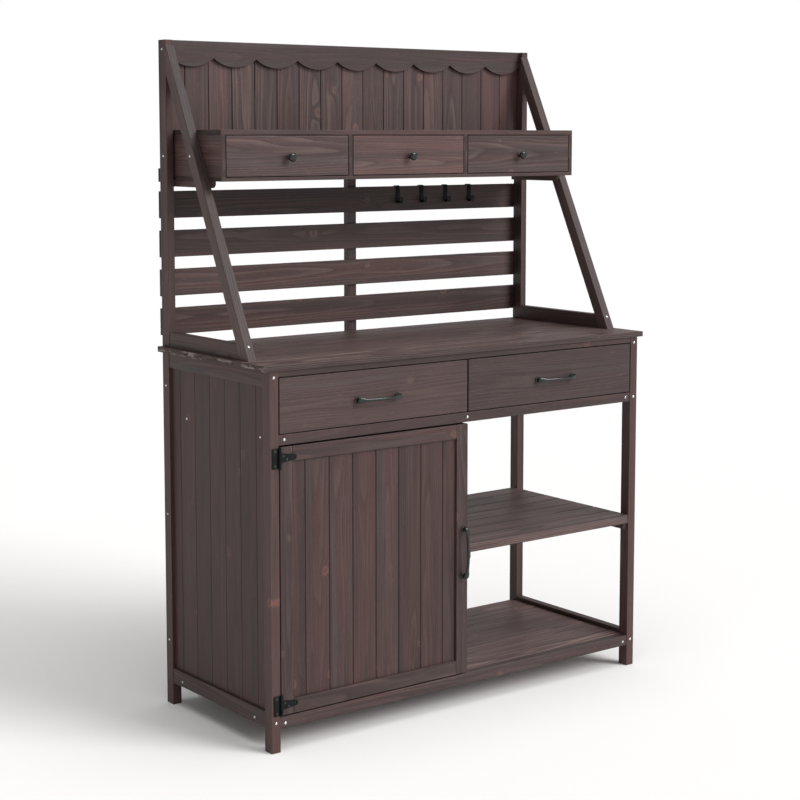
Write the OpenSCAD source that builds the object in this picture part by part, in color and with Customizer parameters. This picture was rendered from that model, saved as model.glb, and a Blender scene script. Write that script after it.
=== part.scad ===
// Potting bench: a lower cabinet with drawers, a door and open shelves, and a hutch above the worktop.
// Origin: floor level, middle of the footprint. +X to the right, +Y to the back, +Z up. Millimetres.

/* [Bench] */
// Width over the outer faces of the legs
bench_w = 1156; // [1000:1:1300]
// Depth over the outer faces of the legs
bench_d = 480; // [460:1:520]
// Height of the worktop's upper face
bench_h = 900; // [880:1:940]
// Height of the top of the hutch
hutch_top = 1644; // [1620:1:1700]
// Worktop thickness
top_t = 13; // [12:1:18]
// Worktop overhang past the legs at each side
top_side = 14; // [8:1:20]
// Worktop overhang past the front legs
top_front = 6; // [4:1:12]

/* [Frame timber] */
// Leg and brace section, across the bench
leg_x = 24; // [22:1:28]
// Leg and brace section, front to back
leg_y = 30; // [28:1:34]
// Depth of the front rails
rail_d = 23; // [20:1:26]
// Height of the apron rail under the worktop
apron_h = 15; // [12:1:18]
// Height of the rail under the drawers
drawer_rail_h = 24; // [20:1:26]
// Height of the front rail at the bottom
foot_rail_h = 27; // [24:1:30]
// Clear height under the bottom rails
foot_clear = 56; // [50:1:60]
// Height of the side and back rails
side_rail_h = 38; // [34:1:40]
// Set-back of the rails from the faces of the legs
rail_in = 1; // [0.5:0.5:2]

/* [Boards] */
// Face width of a tongue and groove board
board_w = 68; // [66:1:69]
// Thickness of a tongue and groove board
board_t = 9; // [9:1:10]
// Set-back of the side boards from the face of the legs
board_in = 8; // [7:1:9]
// Depth of the V joint between two boards
v_joint = 1.6; // [1:0.2:2]
// Length of a tongue
tongue_l = 5; // [4:0.5:6]
// Thickness of a tongue
tongue_t = 3; // [2.5:0.5:3.5]
// Gap left between two neighbouring boards
board_gap = 0.3; // [0.2:0.1:0.6]

/* [Shelves] */
// Upper face of the bottom shelf
shelf_z = 83; // [83:1:83]
// Upper face of the middle shelf
mid_shelf_z = 412; // [380:1:450]
// Thickness of the shelf boards
shelf_t = 10; // [9:1:12]
// Thickness of the front board of the middle shelf
mid_front_t = 24; // [20:1:26]
// Number of boards in a shelf
shelf_boards = 7; // [7:1:7]

/* [Large drawers] */
// Height of the drawer opening
drawer_h = 132; // [130:1:134]
// Gap around a drawer front
front_gap = 1.5; // [1:0.5:2]
// Gap between the two drawer fronts
front_split = 2.5; // [2:0.5:3]
// Thickness of a drawer front
front_t = 15; // [14:1:16]
// Depth of a drawer's box behind its front
drawer_d = 405; // [380:1:410]
// Height of a drawer's sides
drawer_side_h = 96; // [80:1:110]
// Thickness of a drawer's sides
drawer_side_t = 12; // [10:1:13]
// Thickness of a drawer's bottom
drawer_bottom_t = 5; // [4:1:6]

/* [Door] */
// Width of the door
door_w = 552; // [540:1:554]
// Gap between the leg and the door
door_gap = 2.5; // [2:0.5:3]
// Thickness of the door's frame
door_t = 20; // [18:1:20]
// Width of the door's stiles and rails
stile_w = 35; // [32:1:38]
// Set-back of the door's boards from its face
door_board_in = 6; // [5:1:7]
// Groove that holds the ends and edges of the boards
groove_d = 6; // [5:1:7]

/* [Hutch] */
// Post section, across the bench
post_x = 19; // [18:1:22]
// Post section, front to back
post_y = 34; // [32:1:36]
// Distance from the front leg face to the foot of a brace
brace_foot = 88; // [80:1:96]
// Angle of a brace from the vertical
brace_angle = 26.1; // [25.5:0.1:26.5]
// Height of the rails on the worktop
base_rail_h = 36; // [32:1:40]
// Height of a back slat
slat_h = 66; // [60:1:68]
// Thickness of a back slat
slat_t = 9; // [8:1:10]
// Distance from one slat to the next
slat_pitch = 95.7; // [94:0.1:96]
// Underside of the lowest slat above the worktop
slat_foot = 26; // [20:1:28]
// Height of the rail behind the foot of the board panel
panel_rail_h = 33; // [30:1:34]
// Width of the middle batten
centre_post_w = 27; // [24:1:34]
// How far the right face of the middle batten stands to the right of the bench's middle
centre_post_right = 17; // [12:1:17]
// Thickness of the upper board panel
panel_t = 12; // [11:1:13]
// Scallops along the valance
scallops = 9; // [9:1:9]
// Valance height at the cusps
valance_h = 41.5; // [38:0.5:44]
// Drop of each scallop below the cusps
scallop_drop = 21; // [18:1:24]
// Thickness of the valance
valance_t = 9; // [8:1:10]

/* [Drawer box] */
// Front face of the drawer box behind the front leg face
box_front = 234; // [228:1:238]
// Underside of the drawer box above the worktop
box_foot = 407; // [405:1:410]
// Height of the drawer box
box_h = 121; // [120:1:124]
// Thickness of the box's top, sides and dividers
box_t = 12; // [12:1:12]
// Thickness of the box's bottom
box_bottom_t = 9; // [9:1:10]
// Gap around a small drawer's front
small_gap = 1.8; // [1.5:0.1:2.2]
// Thickness of a small drawer's front
small_front_t = 12; // [11:1:13]
// Depth of a small drawer's box behind its front
small_d = 200; // [180:1:205]
// Height of a small drawer's sides
small_side_h = 76; // [60:1:80]
// Thickness of a small drawer's sides
small_side_t = 9; // [8:1:10]

/* [Hardware] */
// Length of a bow pull
pull_l = 132; // [125:1:150]
// How far a bow pull stands out
pull_out = 24; // [24:1:26]
// Radius of a bow pull's bar
pull_bar_r = 3; // [2.5:0.5:3.5]
// Radius of a bow pull's foot
pull_foot_r = 7.5; // [7:0.5:8]
// Radius of a knob
knob_r = 11; // [9:0.5:11]
// How far a knob stands out
knob_out = 22; // [20:1:24]
// Height of a hinge plate
hinge_h = 47; // [44:1:50]
// Radius of a hinge knuckle
knuckle_r = 3.6; // [3.4:0.1:3.8]
// Radius of a hinge pin
pin_r = 1.6; // [1.4:0.1:1.8]
// Width of a hook's strip
hook_w = 12; // [10:1:13]
// Thickness of a hook's strip
hook_t = 1.8; // [1.5:0.1:2]
// Length of a hook below the slat's top edge
hook_drop = 46; // [42:1:50]
// Radius of a screw head
screw_r = 3.4; // [3:0.2:3.8]

/* [Hidden] */
$fn = 48;

stain = "#5a4a48";
stain_dark = "#4a3b3a";
raw_wood = "#6b5a55";
black = "#1c1c1e";
zinc = "#c9cbce";

// Faces of the frame
x_left = -bench_w / 2;
x_right = bench_w / 2;
y_front = -bench_d / 2;
y_back = bench_d / 2;
x_in_left = x_left + leg_x;
x_in_right = x_right - leg_x;
leg_top = bench_h - top_t;
rail_front = y_front + rail_in;
rail_back = rail_front + rail_d;
apron_z = leg_top - apron_h;
drawer_z = apron_z - drawer_h;
drawer_rail_z = drawer_z - drawer_rail_h;
side_rail_t = leg_x - 2 * rail_in;
side_len = bench_d - 2 * leg_y;
side_top_z = leg_top - side_rail_h;

// Door
door_x = x_in_left + door_gap;
door_z = shelf_z + 3;
door_top = drawer_rail_z - 4;
door_h = door_top - door_z;
field_w = door_w - 2 * stile_w;
field_h = door_h - 2 * stile_w;
hinge_x = x_in_left + door_gap / 2;
hinge_y = y_front - 4;
hinge_z = [door_z + 25, door_top - 25];
catch_z = door_top - 30;

// Shelves, partition and cleats
shelf_back = y_back - 14;
bearer_h = shelf_z - shelf_t - foot_clear;
partition_right = door_x + door_w + 1.5;
partition_x = partition_right - leg_x;
partition_front = y_front + door_t + 2;
shelf_pitch = (shelf_back - y_front) / shelf_boards;
cleat_w = 14;
cleat_h = 15;

// Drawer guides and drawers
divider_t = 12;
runner_w = 18;
runner_h = 18;
front_w = (x_in_right - x_in_left - 2 * (front_gap + 0.5) - front_split) / 2;
front_h = drawer_h - 2 * front_gap;
drawer_in = 6;
box_outer_w = -divider_t / 2 - drawer_in - (x_in_left + drawer_in);
slide_gap = 0.6;

// Hutch
post_front = y_back - post_y;
panel_front = y_back - panel_t;
panel_left = x_left + post_x;
panel_w = bench_w - 2 * post_x;
panel_first = 47;
panel_boards = 15;
panel_pitch = 67.1;
panel_z = bench_h + box_foot - 3;
slat_z = bench_h + slat_foot;
slat_top = slat_z + 3 * slat_pitch + slat_h;
brace_run = tan(brace_angle);
brace_deep = leg_y / cos(brace_angle);
box_z = bench_h + box_foot;
box_y = y_front + box_front;
box_left = x_in_left;
box_w = x_in_right - x_in_left;
box_d = panel_front - box_y;
bay_w = (box_w - 4 * box_t) / 3;
bay_z = box_z + box_bottom_t;
bay_h = box_h - box_t - box_bottom_t;
bay_pitch = bay_w + box_t;
knob_z = bay_z + bay_h / 2 - 3;

// Hooks along the top slat
hook_x = [148, 229, 312, 395];
hook_gap = 0.3;
hook_j_r = 7;

// A block between two opposite corners
module block(a, b) {
  translate(a) cube(b - a);
}

function width_before(widths, i) = i <= 0 ? 0 : widths[i - 1] + width_before(widths, i - 1);

function panel_widths(first, pitch, count, last) = concat([first], [for (i = [1:count]) pitch], [last]);

// One board along +Z, its face towards -Y, with a groove on its left edge and a tongue on its right
module tongue_board(w, t, len, has_groove, has_tongue) {
  real_w = w - board_gap;
  mid = t / 2;
  slot = tongue_t + 2 * board_gap;
  left_face = has_groove ? [[0, v_joint], [v_joint, 0]] : [[0, 0]];
  right_face = has_tongue ? [[real_w - v_joint, 0], [real_w, v_joint]] : [[real_w, 0]];
  tongue = [
    [real_w, mid - tongue_t / 2], [real_w + tongue_l, mid - tongue_t / 2],
    [real_w + tongue_l, mid + tongue_t / 2], [real_w, mid + tongue_t / 2]
  ];
  groove = [
    [0, mid + slot / 2], [tongue_l + 1, mid + slot / 2],
    [tongue_l + 1, mid - slot / 2], [0, mid - slot / 2]
  ];
  linear_extrude(len)
    polygon(concat(
      left_face, right_face, has_tongue ? tongue : [], [[real_w, t], [0, t]], has_groove ? groove : []
    ));
}

// Boards side by side along +X
module board_row(widths, t, len) {
  last = len(widths) - 1;
  for (i = [0:last])
    translate([width_before(widths, i), 0, 0])
      tongue_board(widths[i], t, len, i > 0, i < last);
}

// Boards laid flat along +X, one behind the other towards +Y, with the upper face at height z
module flat_boards(x0, y0, z, widths, t, len) {
  translate([x0, y0, z])
    rotate([90, 0, 90])
      mirror([0, 1, 0])
        board_row(widths, t, len);
}

module leg(x, y) {
  color(stain) block([x, y, 0], [x + leg_x, y + leg_y, leg_top]);
}

module leg_front_left() { leg(x_left, y_front); }
module leg_front_right() { leg(x_in_right, y_front); }
module leg_back_left() { leg(x_left, y_back - leg_y); }
module leg_back_right() { leg(x_in_right, y_back - leg_y); }

// Rail between a front and a back leg, with an optional groove for the side boards
module side_rail(x, z, h, board_x, groove_z) {
  y0 = y_front + leg_y;
  difference() {
    block([x, y0, z], [x + side_rail_t, y0 + side_len, z + h]);
    if (groove_z != undef)
      block([board_x, y0 - 1, groove_z], [board_x + board_t, y0 + side_len + 1, groove_z + groove_d]);
  }
}

module side_rails_left() {
  x = x_left + rail_in;
  board_x = x_left + board_in;
  color(stain_dark) {
    side_rail(x, foot_clear, side_rail_h, board_x, foot_clear + side_rail_h - groove_d);
    side_rail(x, side_top_z, side_rail_h, board_x, side_top_z);
  }
}

// The right side is open below the drawers: only their height is boarded
module side_rails_right() {
  x = x_in_right + rail_in;
  board_x = x_right - board_in - board_t;
  color(stain_dark) {
    side_rail(x, foot_clear, side_rail_h);
    side_rail(x, drawer_rail_z, drawer_rail_h, board_x, drawer_z - groove_d);
    side_rail(x, side_top_z, side_rail_h, board_x, side_top_z);
  }
}

module back_rails() {
  color(stain_dark) {
    block([x_in_left, y_back - rail_in - rail_d, side_top_z], [x_in_right, y_back - rail_in, leg_top]);
    block([x_in_left, shelf_back - leg_x, foot_clear], [x_in_right, shelf_back, foot_clear + bearer_h]);
  }
}

module front_rail(z, h) {
  color(stain) block([x_in_left, rail_front, z], [x_in_right, rail_back, z + h]);
}

module apron_rail() { front_rail(apron_z, apron_h); }
module drawer_rail() { front_rail(drawer_rail_z, drawer_rail_h); }
module front_bottom_rail() { front_rail(foot_clear, foot_rail_h); }

// Vertical boards of the left side, and the short ones beside the right drawer
module side_boards() {
  count = 5;
  end_w = (side_len - count * board_w) / 2;
  widths = panel_widths(end_w, board_w, count, end_w);
  left_z = foot_clear + side_rail_h - groove_d;
  right_z = drawer_z - groove_d;
  top = side_top_z + groove_d;
  color(stain) {
    translate([x_left + board_in, y_back - leg_y - board_gap, left_z])
      rotate([0, 0, -90])
        board_row(widths, board_t, top - left_z);
    translate([x_right - board_in, y_front + leg_y, right_z])
      rotate([0, 0, 90])
        board_row(widths, board_t, top - right_z);
  }
}

module cabinet_back_boards() {
  count = 7;
  w = partition_right - x_in_left;
  end_w = (w - count * board_w) / 2;
  color(stain_dark)
    translate([x_in_left, shelf_back, foot_clear])
      board_row(panel_widths(end_w, board_w, count, end_w), board_t, side_top_z - foot_clear);
}

module partition_posts() {
  color(stain_dark) {
    block([partition_x, partition_front, shelf_z], [partition_right, partition_front + leg_y, drawer_rail_z]);
    block([partition_x, shelf_back - leg_y, shelf_z], [partition_right, shelf_back, drawer_rail_z]);
  }
}

module partition_boards() {
  y0 = partition_front + leg_y;
  w = shelf_back - leg_y - y0;
  count = 4;
  end_w = (w - count * board_w) / 2;
  color(stain_dark)
    translate([partition_x + (leg_x + board_t) / 2, y0, shelf_z])
      rotate([0, 0, 90])
        board_row(panel_widths(end_w, board_w, count, end_w), board_t, drawer_rail_z - shelf_z);
}

module bottom_shelf_boards() {
  w = shelf_back - rail_back;
  first = shelf_pitch - (rail_back - y_front);
  widths = panel_widths(first, shelf_pitch, shelf_boards - 2, shelf_pitch);
  color(stain) flat_boards(x_in_left, rail_back, shelf_z, widths, shelf_t, x_in_right - x_in_left);
}

module mid_shelf_front_board() {
  color(stain)
    block([partition_right, rail_front, mid_shelf_z - mid_front_t],
          [x_in_right, y_front + shelf_pitch - 2, mid_shelf_z]);
}

// Loose slats of the middle shelf, with open joints
module mid_shelf_boards() {
  joint = 2;
  color(stain)
    for (i = [1:shelf_boards - 1])
      block([partition_right, y_front + i * shelf_pitch, mid_shelf_z - shelf_t],
            [x_in_right, y_front + (i + 1) * shelf_pitch - joint, mid_shelf_z]);
}

// Cleat under the middle shelf, notched under its thicker front board
module mid_cleat(x) {
  front = y_front + 6;
  step = y_front + shelf_pitch;
  low = mid_shelf_z - mid_front_t - cleat_h;
  block([x, front, low], [x + cleat_w, step, low + cleat_h]);
  block([x, step, low], [x + cleat_w, shelf_back, mid_shelf_z - shelf_t]);
}

module shelf_cleats() {
  low = foot_clear + rail_in;
  high = shelf_z - shelf_t;
  back = shelf_back - leg_x;
  bearer = (partition_x + partition_right) / 2;
  color(stain_dark) {
    block([x_in_left, rail_back, low], [x_in_left + cleat_w, back, high]);
    block([x_in_right - cleat_w, rail_back, low], [x_in_right, back, high]);
    block([bearer - leg_x / 2, rail_back, low], [bearer + leg_x / 2, back, high]);
    mid_cleat(partition_right);
    mid_cleat(x_in_right - cleat_w);
  }
}

// Upright between the large drawers, and the four bars they run on
module drawer_guides() {
  divider_back = y_back - rail_in - rail_d;
  low = drawer_z - runner_h;
  color(stain_dark) {
    block([-divider_t / 2, rail_back, drawer_rail_z], [divider_t / 2, divider_back, leg_top]);
    for (side = [-1, 1])
      translate([side * (divider_t + runner_w + board_gap) / 2, 0, 0])
        block([-runner_w / 2, rail_back, low], [runner_w / 2, divider_back, drawer_z]);
    block([x_in_left, rail_back, low], [x_in_left + runner_w, shelf_back, drawer_z]);
    block([x_in_right - runner_w, rail_back, low], [x_in_right, y_back, drawer_z]);
  }
}

module worktop_boards() {
  boards = 7;
  depth = bench_d + top_front;
  pitch = depth / boards;
  widths = panel_widths(pitch, pitch, boards - 2, pitch);
  color(stain)
    flat_boards(x_left - top_side, y_front - top_front, bench_h, widths, top_t, bench_w + 2 * top_side);
}

// Open box of a drawer: two sides, a back, and a bottom held in grooves. Its front lower left corner is at 0
module drawer_tray(w, d, h, t, bottom_t) {
  bite = 4;
  bottom_z = 6;
  gap = 0.2;
  for (x = [0, w - t])
    difference() {
      translate([x, 0, 0]) cube([t, d, h]);
      block([t - bite, -1, bottom_z], [w - t + bite, d + 1, bottom_z + bottom_t]);
    }
  block([t + gap, d - t, bottom_z + bottom_t + gap], [w - t - gap, d, h]);
  block([t - bite + gap, 0, bottom_z + gap], [w - t + bite - gap, d, bottom_z + bottom_t - gap]);
}

module drawer_front(x) {
  color(stain) translate([x, y_front, drawer_z + front_gap]) cube([front_w, front_t, front_h]);
}

module drawer_box(x) {
  color(raw_wood)
    translate([x, y_front + front_t, drawer_z + slide_gap])
      drawer_tray(box_outer_w, drawer_d, drawer_side_h, drawer_side_t, drawer_bottom_t);
}

// Bow pull along X, standing out towards -Y: a post on a round foot at each end, and a slim bowed bar
// that widens into a leaf where it meets the post
module pull() {
  half = pull_l / 2 - pull_foot_r;
  end_y = 11;
  rise = pull_out - pull_bar_r - end_y;
  arc_r = (half * half + rise * rise) / (2 * rise);
  sweep_half = asin(half / arc_r);
  foot_t = 3;
  post_r = 5.5;
  leaf = 26;
  leaf_y = pull_out - pull_bar_r - arc_r + sqrt(arc_r * arc_r - (half - leaf) * (half - leaf));
  color(black) {
    translate([0, arc_r - pull_out + pull_bar_r, 0])
      rotate([0, 0, -90 - sweep_half])
        rotate_extrude(angle = 2 * sweep_half) translate([arc_r, 0]) circle(pull_bar_r);
    for (side = [-1, 1]) {
      translate([side * half, 0, 0]) rotate([90, 0, 0]) {
        cylinder(r = pull_foot_r, h = foot_t);
        cylinder(r = post_r, h = end_y);
      }
      hull() {
        translate([side * half, -end_y, 0]) sphere(post_r, $fn = 32);
        translate([side * (half - leaf), -leaf_y, 0]) sphere(pull_bar_r + 0.4, $fn = 32);
      }
    }
  }
}

pull_z = drawer_z + drawer_h / 2 - 5;
right_pull_shift = 8;
door_pull_shift = 4;
drawer_left_x = -front_split / 2 - front_w;
drawer_right_x = front_split / 2;

module drawer_left_front() { drawer_front(drawer_left_x); }
module drawer_left_box() { drawer_box(x_in_left + drawer_in); }
module drawer_left_pull() { translate([drawer_left_x + front_w / 2, y_front, pull_z]) pull(); }
module drawer_right_front() { drawer_front(drawer_right_x); }
module drawer_right_box() { drawer_box(x_in_right - drawer_in - box_outer_w); }
module drawer_right_pull() {
  translate([drawer_right_x + front_w / 2 + right_pull_shift, y_front, pull_z]) pull();
}

// The groove round the inside of the door's frame
module door_groove() {
  translate([door_x + stile_w - groove_d, y_front + door_board_in, door_z + stile_w - groove_d])
    cube([field_w + 2 * groove_d, board_t, field_h + 2 * groove_d]);
}

module door_stiles() {
  color(stain)
    for (x = [door_x, door_x + door_w - stile_w])
      difference() {
        block([x, y_front, door_z], [x + stile_w, y_front + door_t, door_top]);
        door_groove();
      }
}

module door_rails() {
  color(stain)
    for (z = [door_z, door_top - stile_w])
      difference() {
        block([door_x + stile_w, y_front, z], [door_x + door_w - stile_w, y_front + door_t, z + stile_w]);
        door_groove();
      }
}

module door_boards() {
  count = 6;
  pitch = board_w - 0.5;
  w = field_w + 2 * groove_d;
  end_w = (w - count * pitch) / 2;
  color(stain)
    translate([door_x + stile_w - groove_d, y_front + door_board_in, door_z + stile_w - groove_d])
      board_row(panel_widths(end_w, pitch, count, end_w), board_t, field_h + 2 * groove_d);
}

module door_pull() {
  translate([door_x + door_w - stile_w / 2 + door_pull_shift, y_front, door_z + door_h / 2 - 7])
    rotate([0, 90, 0]) pull();
}

// One knuckle of a hinge about the pin, from z0 to z1
module knuckle(z0, z1) {
  translate([0, 0, z0])
    difference() {
      cylinder(r = knuckle_r, h = z1 - z0);
      translate([0, 0, -1]) cylinder(r = pin_r + 0.06, h = z1 - z0 + 2);
    }
}

// Web that joins a leaf to its knuckle, clear of the pin
module knuckle_web(x0, x1, z0, z1) {
  plate_back = y_front - hinge_y;
  difference() {
    block([x0, plate_back - 2, z0], [x1, plate_back - 0.4, z1]);
    translate([0, 0, z0 - 1]) cylinder(r = knuckle_r - 0.4, h = z1 - z0 + 2);
  }
}

module hinge_plate() {
  half = hinge_h / 2;
  strap_half = 8.5;
  plate_back = y_front - hinge_y;
  plate_w = 16;
  block([-4 - plate_w, plate_back - 2, -half], [-4, plate_back, half]);
  for (z = [[-half, -strap_half], [strap_half, half]]) {
    knuckle(z[0], z[1]);
    knuckle_web(-4.5, 0, z[0], z[1]);
  }
  for (z = [-17, 17])
    translate([-4 - plate_w / 2, plate_back - 2, z]) rotate([90, 0, 0]) cylinder(r = 2.8, h = 1.2);
}

// Tapered strap with a round end: two screws side by side, and a third hole left open at the end
module hinge_strap() {
  plate_back = y_front - hinge_y;
  strap_t = 2;
  root = 4.5;
  root_half = 11;
  tip = 40;
  tip_half = 6.5;
  hole_r = 2.4;
  knuckle(-8, 8);
  knuckle_web(0, root, -8, 8);
  difference() {
    translate([0, plate_back, 0])
      rotate([90, 0, 0])
        linear_extrude(strap_t) {
          polygon([[root, -root_half], [tip, -tip_half], [tip, tip_half], [root, root_half]]);
          translate([tip, 0]) circle(tip_half);
        }
    translate([tip, plate_back + 1, 0]) rotate([90, 0, 0]) cylinder(r = hole_r, h = strap_t + 2);
  }
  for (screw = [[10, 4], [20, -4]])
    translate([screw[0], plate_back - strap_t, screw[1]]) rotate([90, 0, 0]) cylinder(r = 2.8, h = 1.2);
}

module hinge_pin() {
  half = hinge_h / 2 + 0.6;
  translate([0, 0, -half]) cylinder(r = pin_r, h = 2 * half);
  for (z = [-half - 1, half])
    translate([0, 0, z]) cylinder(r = pin_r + 0.9, h = 1);
}

module at_hinges() {
  for (z = hinge_z)
    translate([hinge_x, hinge_y, z]) children();
}

module hinge_plates() { color(black) at_hinges() hinge_plate(); }
module hinge_straps() { color(black) at_hinges() hinge_strap(); }
module hinge_pins() { color(black) at_hinges() hinge_pin(); }

// Magnetic catch on the partition's front post, behind the door's top rail
module catch_magnet() {
  case_w = 22;
  case_d = 15.8;
  case_h = 18;
  color(black)
    translate([partition_x - case_w, y_front + door_t + 2.2, catch_z]) cube([case_w, case_d, case_h]);
}

module catch_strike() {
  plate_w = 18;
  plate_h = 16;
  color(zinc)
    block([partition_x - 4 - plate_w, y_front + door_t, catch_z + 1],
          [partition_x - 4, y_front + door_t + 1.2, catch_z + 1 + plate_h]);
}

module post(x) {
  color(stain) block([x, post_front, bench_h], [x + post_x, y_back, hutch_top]);
}

module post_left() { post(x_left); }
module post_right() { post(x_right - post_x); }

// Batten up the middle, behind the slats
module centre_post() {
  low = bench_h - 24;
  high = panel_z + panel_rail_h;
  front = y_back + slat_t;
  left = centre_post_right - centre_post_w;
  color(stain_dark) block([left, front, low], [centre_post_right, front + post_x, high]);
}

// Sloping brace from the top of a post down to the worktop, in the plane across the bench
module brace(x) {
  foot = y_front + brace_foot;
  foot_back = foot + brace_deep;
  color(stain)
    translate([x, 0, 0])
      rotate([90, 0, 90])
        linear_extrude(leg_x)
          polygon([
            [foot, bench_h], [foot_back, bench_h],
            [post_front, bench_h + (post_front - foot_back) / brace_run],
            [post_front, bench_h + (post_front - foot) / brace_run]
          ]);
}

module brace_left() { brace(x_left); }
module brace_right() { brace(x_in_right); }

// Rails on the worktop between brace and post, their front ends cut to the slope of the brace
module hutch_base_rails() {
  foot_back = y_front + brace_foot + brace_deep;
  rail_t = 22;
  color(stain_dark)
    for (x = [x_left + 1, x_right - 1 - rail_t])
      translate([x, 0, 0])
        rotate([90, 0, 90])
          linear_extrude(rail_t)
            polygon([
              [foot_back, bench_h], [post_front, bench_h], [post_front, bench_h + base_rail_h],
              [foot_back + base_rail_h * brace_run, bench_h + base_rail_h]
            ]);
}

module back_slats() {
  color(stain)
    for (i = [0:3])
      translate([x_left, y_back, slat_z + i * slat_pitch])
        cube([bench_w, slat_t, slat_h]);
}

module panel_rail() {
  color(stain_dark)
    translate([x_left, y_back, panel_z - 2]) cube([bench_w, slat_t, panel_rail_h]);
}

module hutch_boards() {
  last = panel_w - panel_first - panel_boards * panel_pitch;
  color(stain)
    translate([panel_left, panel_front, panel_z])
      board_row(panel_widths(panel_first, panel_pitch, panel_boards, last), panel_t, hutch_top - panel_z);
}

// Valance with a scalloped lower edge: a straight band above overlapping circles, cut to the board's outline
module valance() {
  chord = panel_w / scallops;
  arc_r = (chord * chord / 4 + scallop_drop * scallop_drop) / (2 * scallop_drop);
  lap = 6;
  color(stain)
    translate([panel_left, panel_front, hutch_top])
      rotate([90, 0, 0])
        linear_extrude(valance_t) {
          translate([0, lap - valance_h]) square([panel_w, valance_h - lap]);
          intersection() {
            for (i = [0:scallops - 1])
              translate([(i + 0.5) * chord, arc_r - valance_h - scallop_drop]) circle(arc_r, $fn = 96);
            translate([0, -valance_h - scallop_drop - 1]) square([panel_w, valance_h]);
          }
        }
}

module box_top() {
  color(stain)
    block([box_left, box_y, box_z + box_h - box_t], [box_left + box_w, panel_front, box_z + box_h]);
}

module box_bottom() {
  color(stain)
    block([box_left, box_y, box_z], [box_left + box_w, panel_front, box_z + box_bottom_t]);
}

module box_uprights() {
  color(stain)
    for (i = [0:3])
      translate([box_left + i * bay_pitch, box_y, bay_z]) cube([box_t, box_d, bay_h]);
}

// Cleat under the drawer box, thicker at the back where it meets the post, its front lower corner cut off
module box_cleat() {
  bar_w = 14;
  bar_h = 16;
  front = y_front + brace_foot + (box_foot - bar_h) * brace_run + 2;
  corner = 8;
  translate([x_in_left, 0, box_z - bar_h])
    rotate([90, 0, 90])
      linear_extrude(bar_w)
        polygon([
          [front + corner, 0], [panel_front, 0], [panel_front, bar_h], [front, bar_h], [front, corner]
        ]);
  block([panel_left, post_front, box_z - bar_h], [x_in_left, panel_front, box_z]);
}

module box_cleats() {
  color(stain_dark) {
    box_cleat();
    mirror([1, 0, 0]) box_cleat();
  }
}

// Small drawer of bay i: a front and a tray behind it
module small_drawer(i) {
  x = box_left + box_t + i * bay_pitch;
  side_in = 4;
  color(stain)
    translate([x + small_gap, box_y, bay_z + small_gap])
      cube([bay_w - 2 * small_gap, small_front_t, bay_h - 2 * small_gap]);
  color(raw_wood)
    translate([x + side_in, box_y + small_front_t + 0.2, bay_z + small_gap])
      drawer_tray(bay_w - 2 * side_in, small_d, small_side_h, small_side_t, drawer_bottom_t);
}

module small_drawer_left() { small_drawer(0); }
module small_drawer_middle() { small_drawer(1); }
module small_drawer_right() { small_drawer(2); }

// Round knob on a turned neck, standing out towards -Y
module knob(i) {
  head_t = 9;
  neck_r = 4;
  base_r = 6.5;
  color(black)
    translate([box_left + box_t + i * bay_pitch + bay_w / 2, box_y, knob_z])
      rotate([90, 0, 0])
        rotate_extrude()
          polygon([
            [0, 0], [base_r, 0], [base_r, 2], [neck_r, 4], [neck_r, knob_out - head_t - 2],
            [knob_r - 1, knob_out - head_t], [knob_r, knob_out - head_t + 2],
            [knob_r, knob_out - 3.5], [knob_r - 2.5, knob_out - 1], [0, knob_out]
          ]);
}

module knob_left() { knob(0); }
module knob_middle() { knob(1); }
module knob_right() { knob(2); }

// Strip hook bent over the top edge of the top slat, its foot turned out into a J
module hook(x) {
  over = slat_top + hook_gap;
  front = y_back - hook_gap;
  back = y_back + slat_t + hook_gap;
  tail = 14;
  lip = 8;
  foot = slat_top - hook_drop + hook_j_r + hook_t;
  bend = front - hook_t - hook_j_r;
  color(black)
    translate([x - hook_w / 2, 0, 0])
      rotate([90, 0, 90])
        linear_extrude(hook_w) {
          translate([front - hook_t, foot]) square([hook_t, over + hook_t - foot]);
          translate([front - hook_t, over]) square([back - front + 2 * hook_t, hook_t]);
          translate([back, over - tail]) square([hook_t, tail + hook_t]);
          translate([bend, foot])
            difference() {
              circle(hook_j_r + hook_t);
              circle(hook_j_r);
              translate([-2 * hook_j_r, 0]) square(4 * hook_j_r);
            }
          translate([bend - hook_j_r - hook_t, foot]) square([hook_t, lip]);
        }
}

module hook_1() { hook(hook_x[0]); }
module hook_2() { hook(hook_x[1]); }
module hook_3() { hook(hook_x[2]); }
module hook_4() { hook(hook_x[3]); }

// Domed head of a wood screw, standing out towards -Y
module screw_head() {
  rotate([90, 0, 0])
    rotate_extrude()
      polygon([[0, 0], [screw_r, 0], [screw_r, 0.5], [screw_r * 0.7, 1.3], [0, 1.6]]);
}

module front_screw(x, z, y = y_front) {
  translate([x, y, z]) screw_head();
}

module side_screw(y, z, x = x_left) {
  translate([x, y_front + y, z]) rotate([0, 0, -90]) screw_head();
}

module one_side_screws() {
  leg_mid = bench_d - leg_y / 2;
  for (z = [164, 483, 804])
    side_screw(leg_mid, z);
  for (y = [75, bench_d - 75])
    side_screw(y, foot_clear + 13, x_left + rail_in);
  for (z = [hutch_top - 22, bay_z + bay_h / 2])
    side_screw(bench_d - post_y / 2, z);
  side_screw(brace_foot + box_foot * brace_run + 50, bay_z + bay_h / 2);
  front_screw(x_left + leg_x / 2, apron_z);
  front_screw(x_left + leg_x / 2, foot_clear + 15);
  front_screw(x_left + leg_x + 16, drawer_rail_z + drawer_rail_h / 2, rail_front);
  front_screw(x_left + leg_x + 14, foot_clear + 11, rail_front);
  translate([x_left + leg_x / 2, y_front + brace_foot + 32 * brace_run, bench_h + 32])
    rotate([-brace_angle, 0, 0]) screw_head();
}

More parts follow.
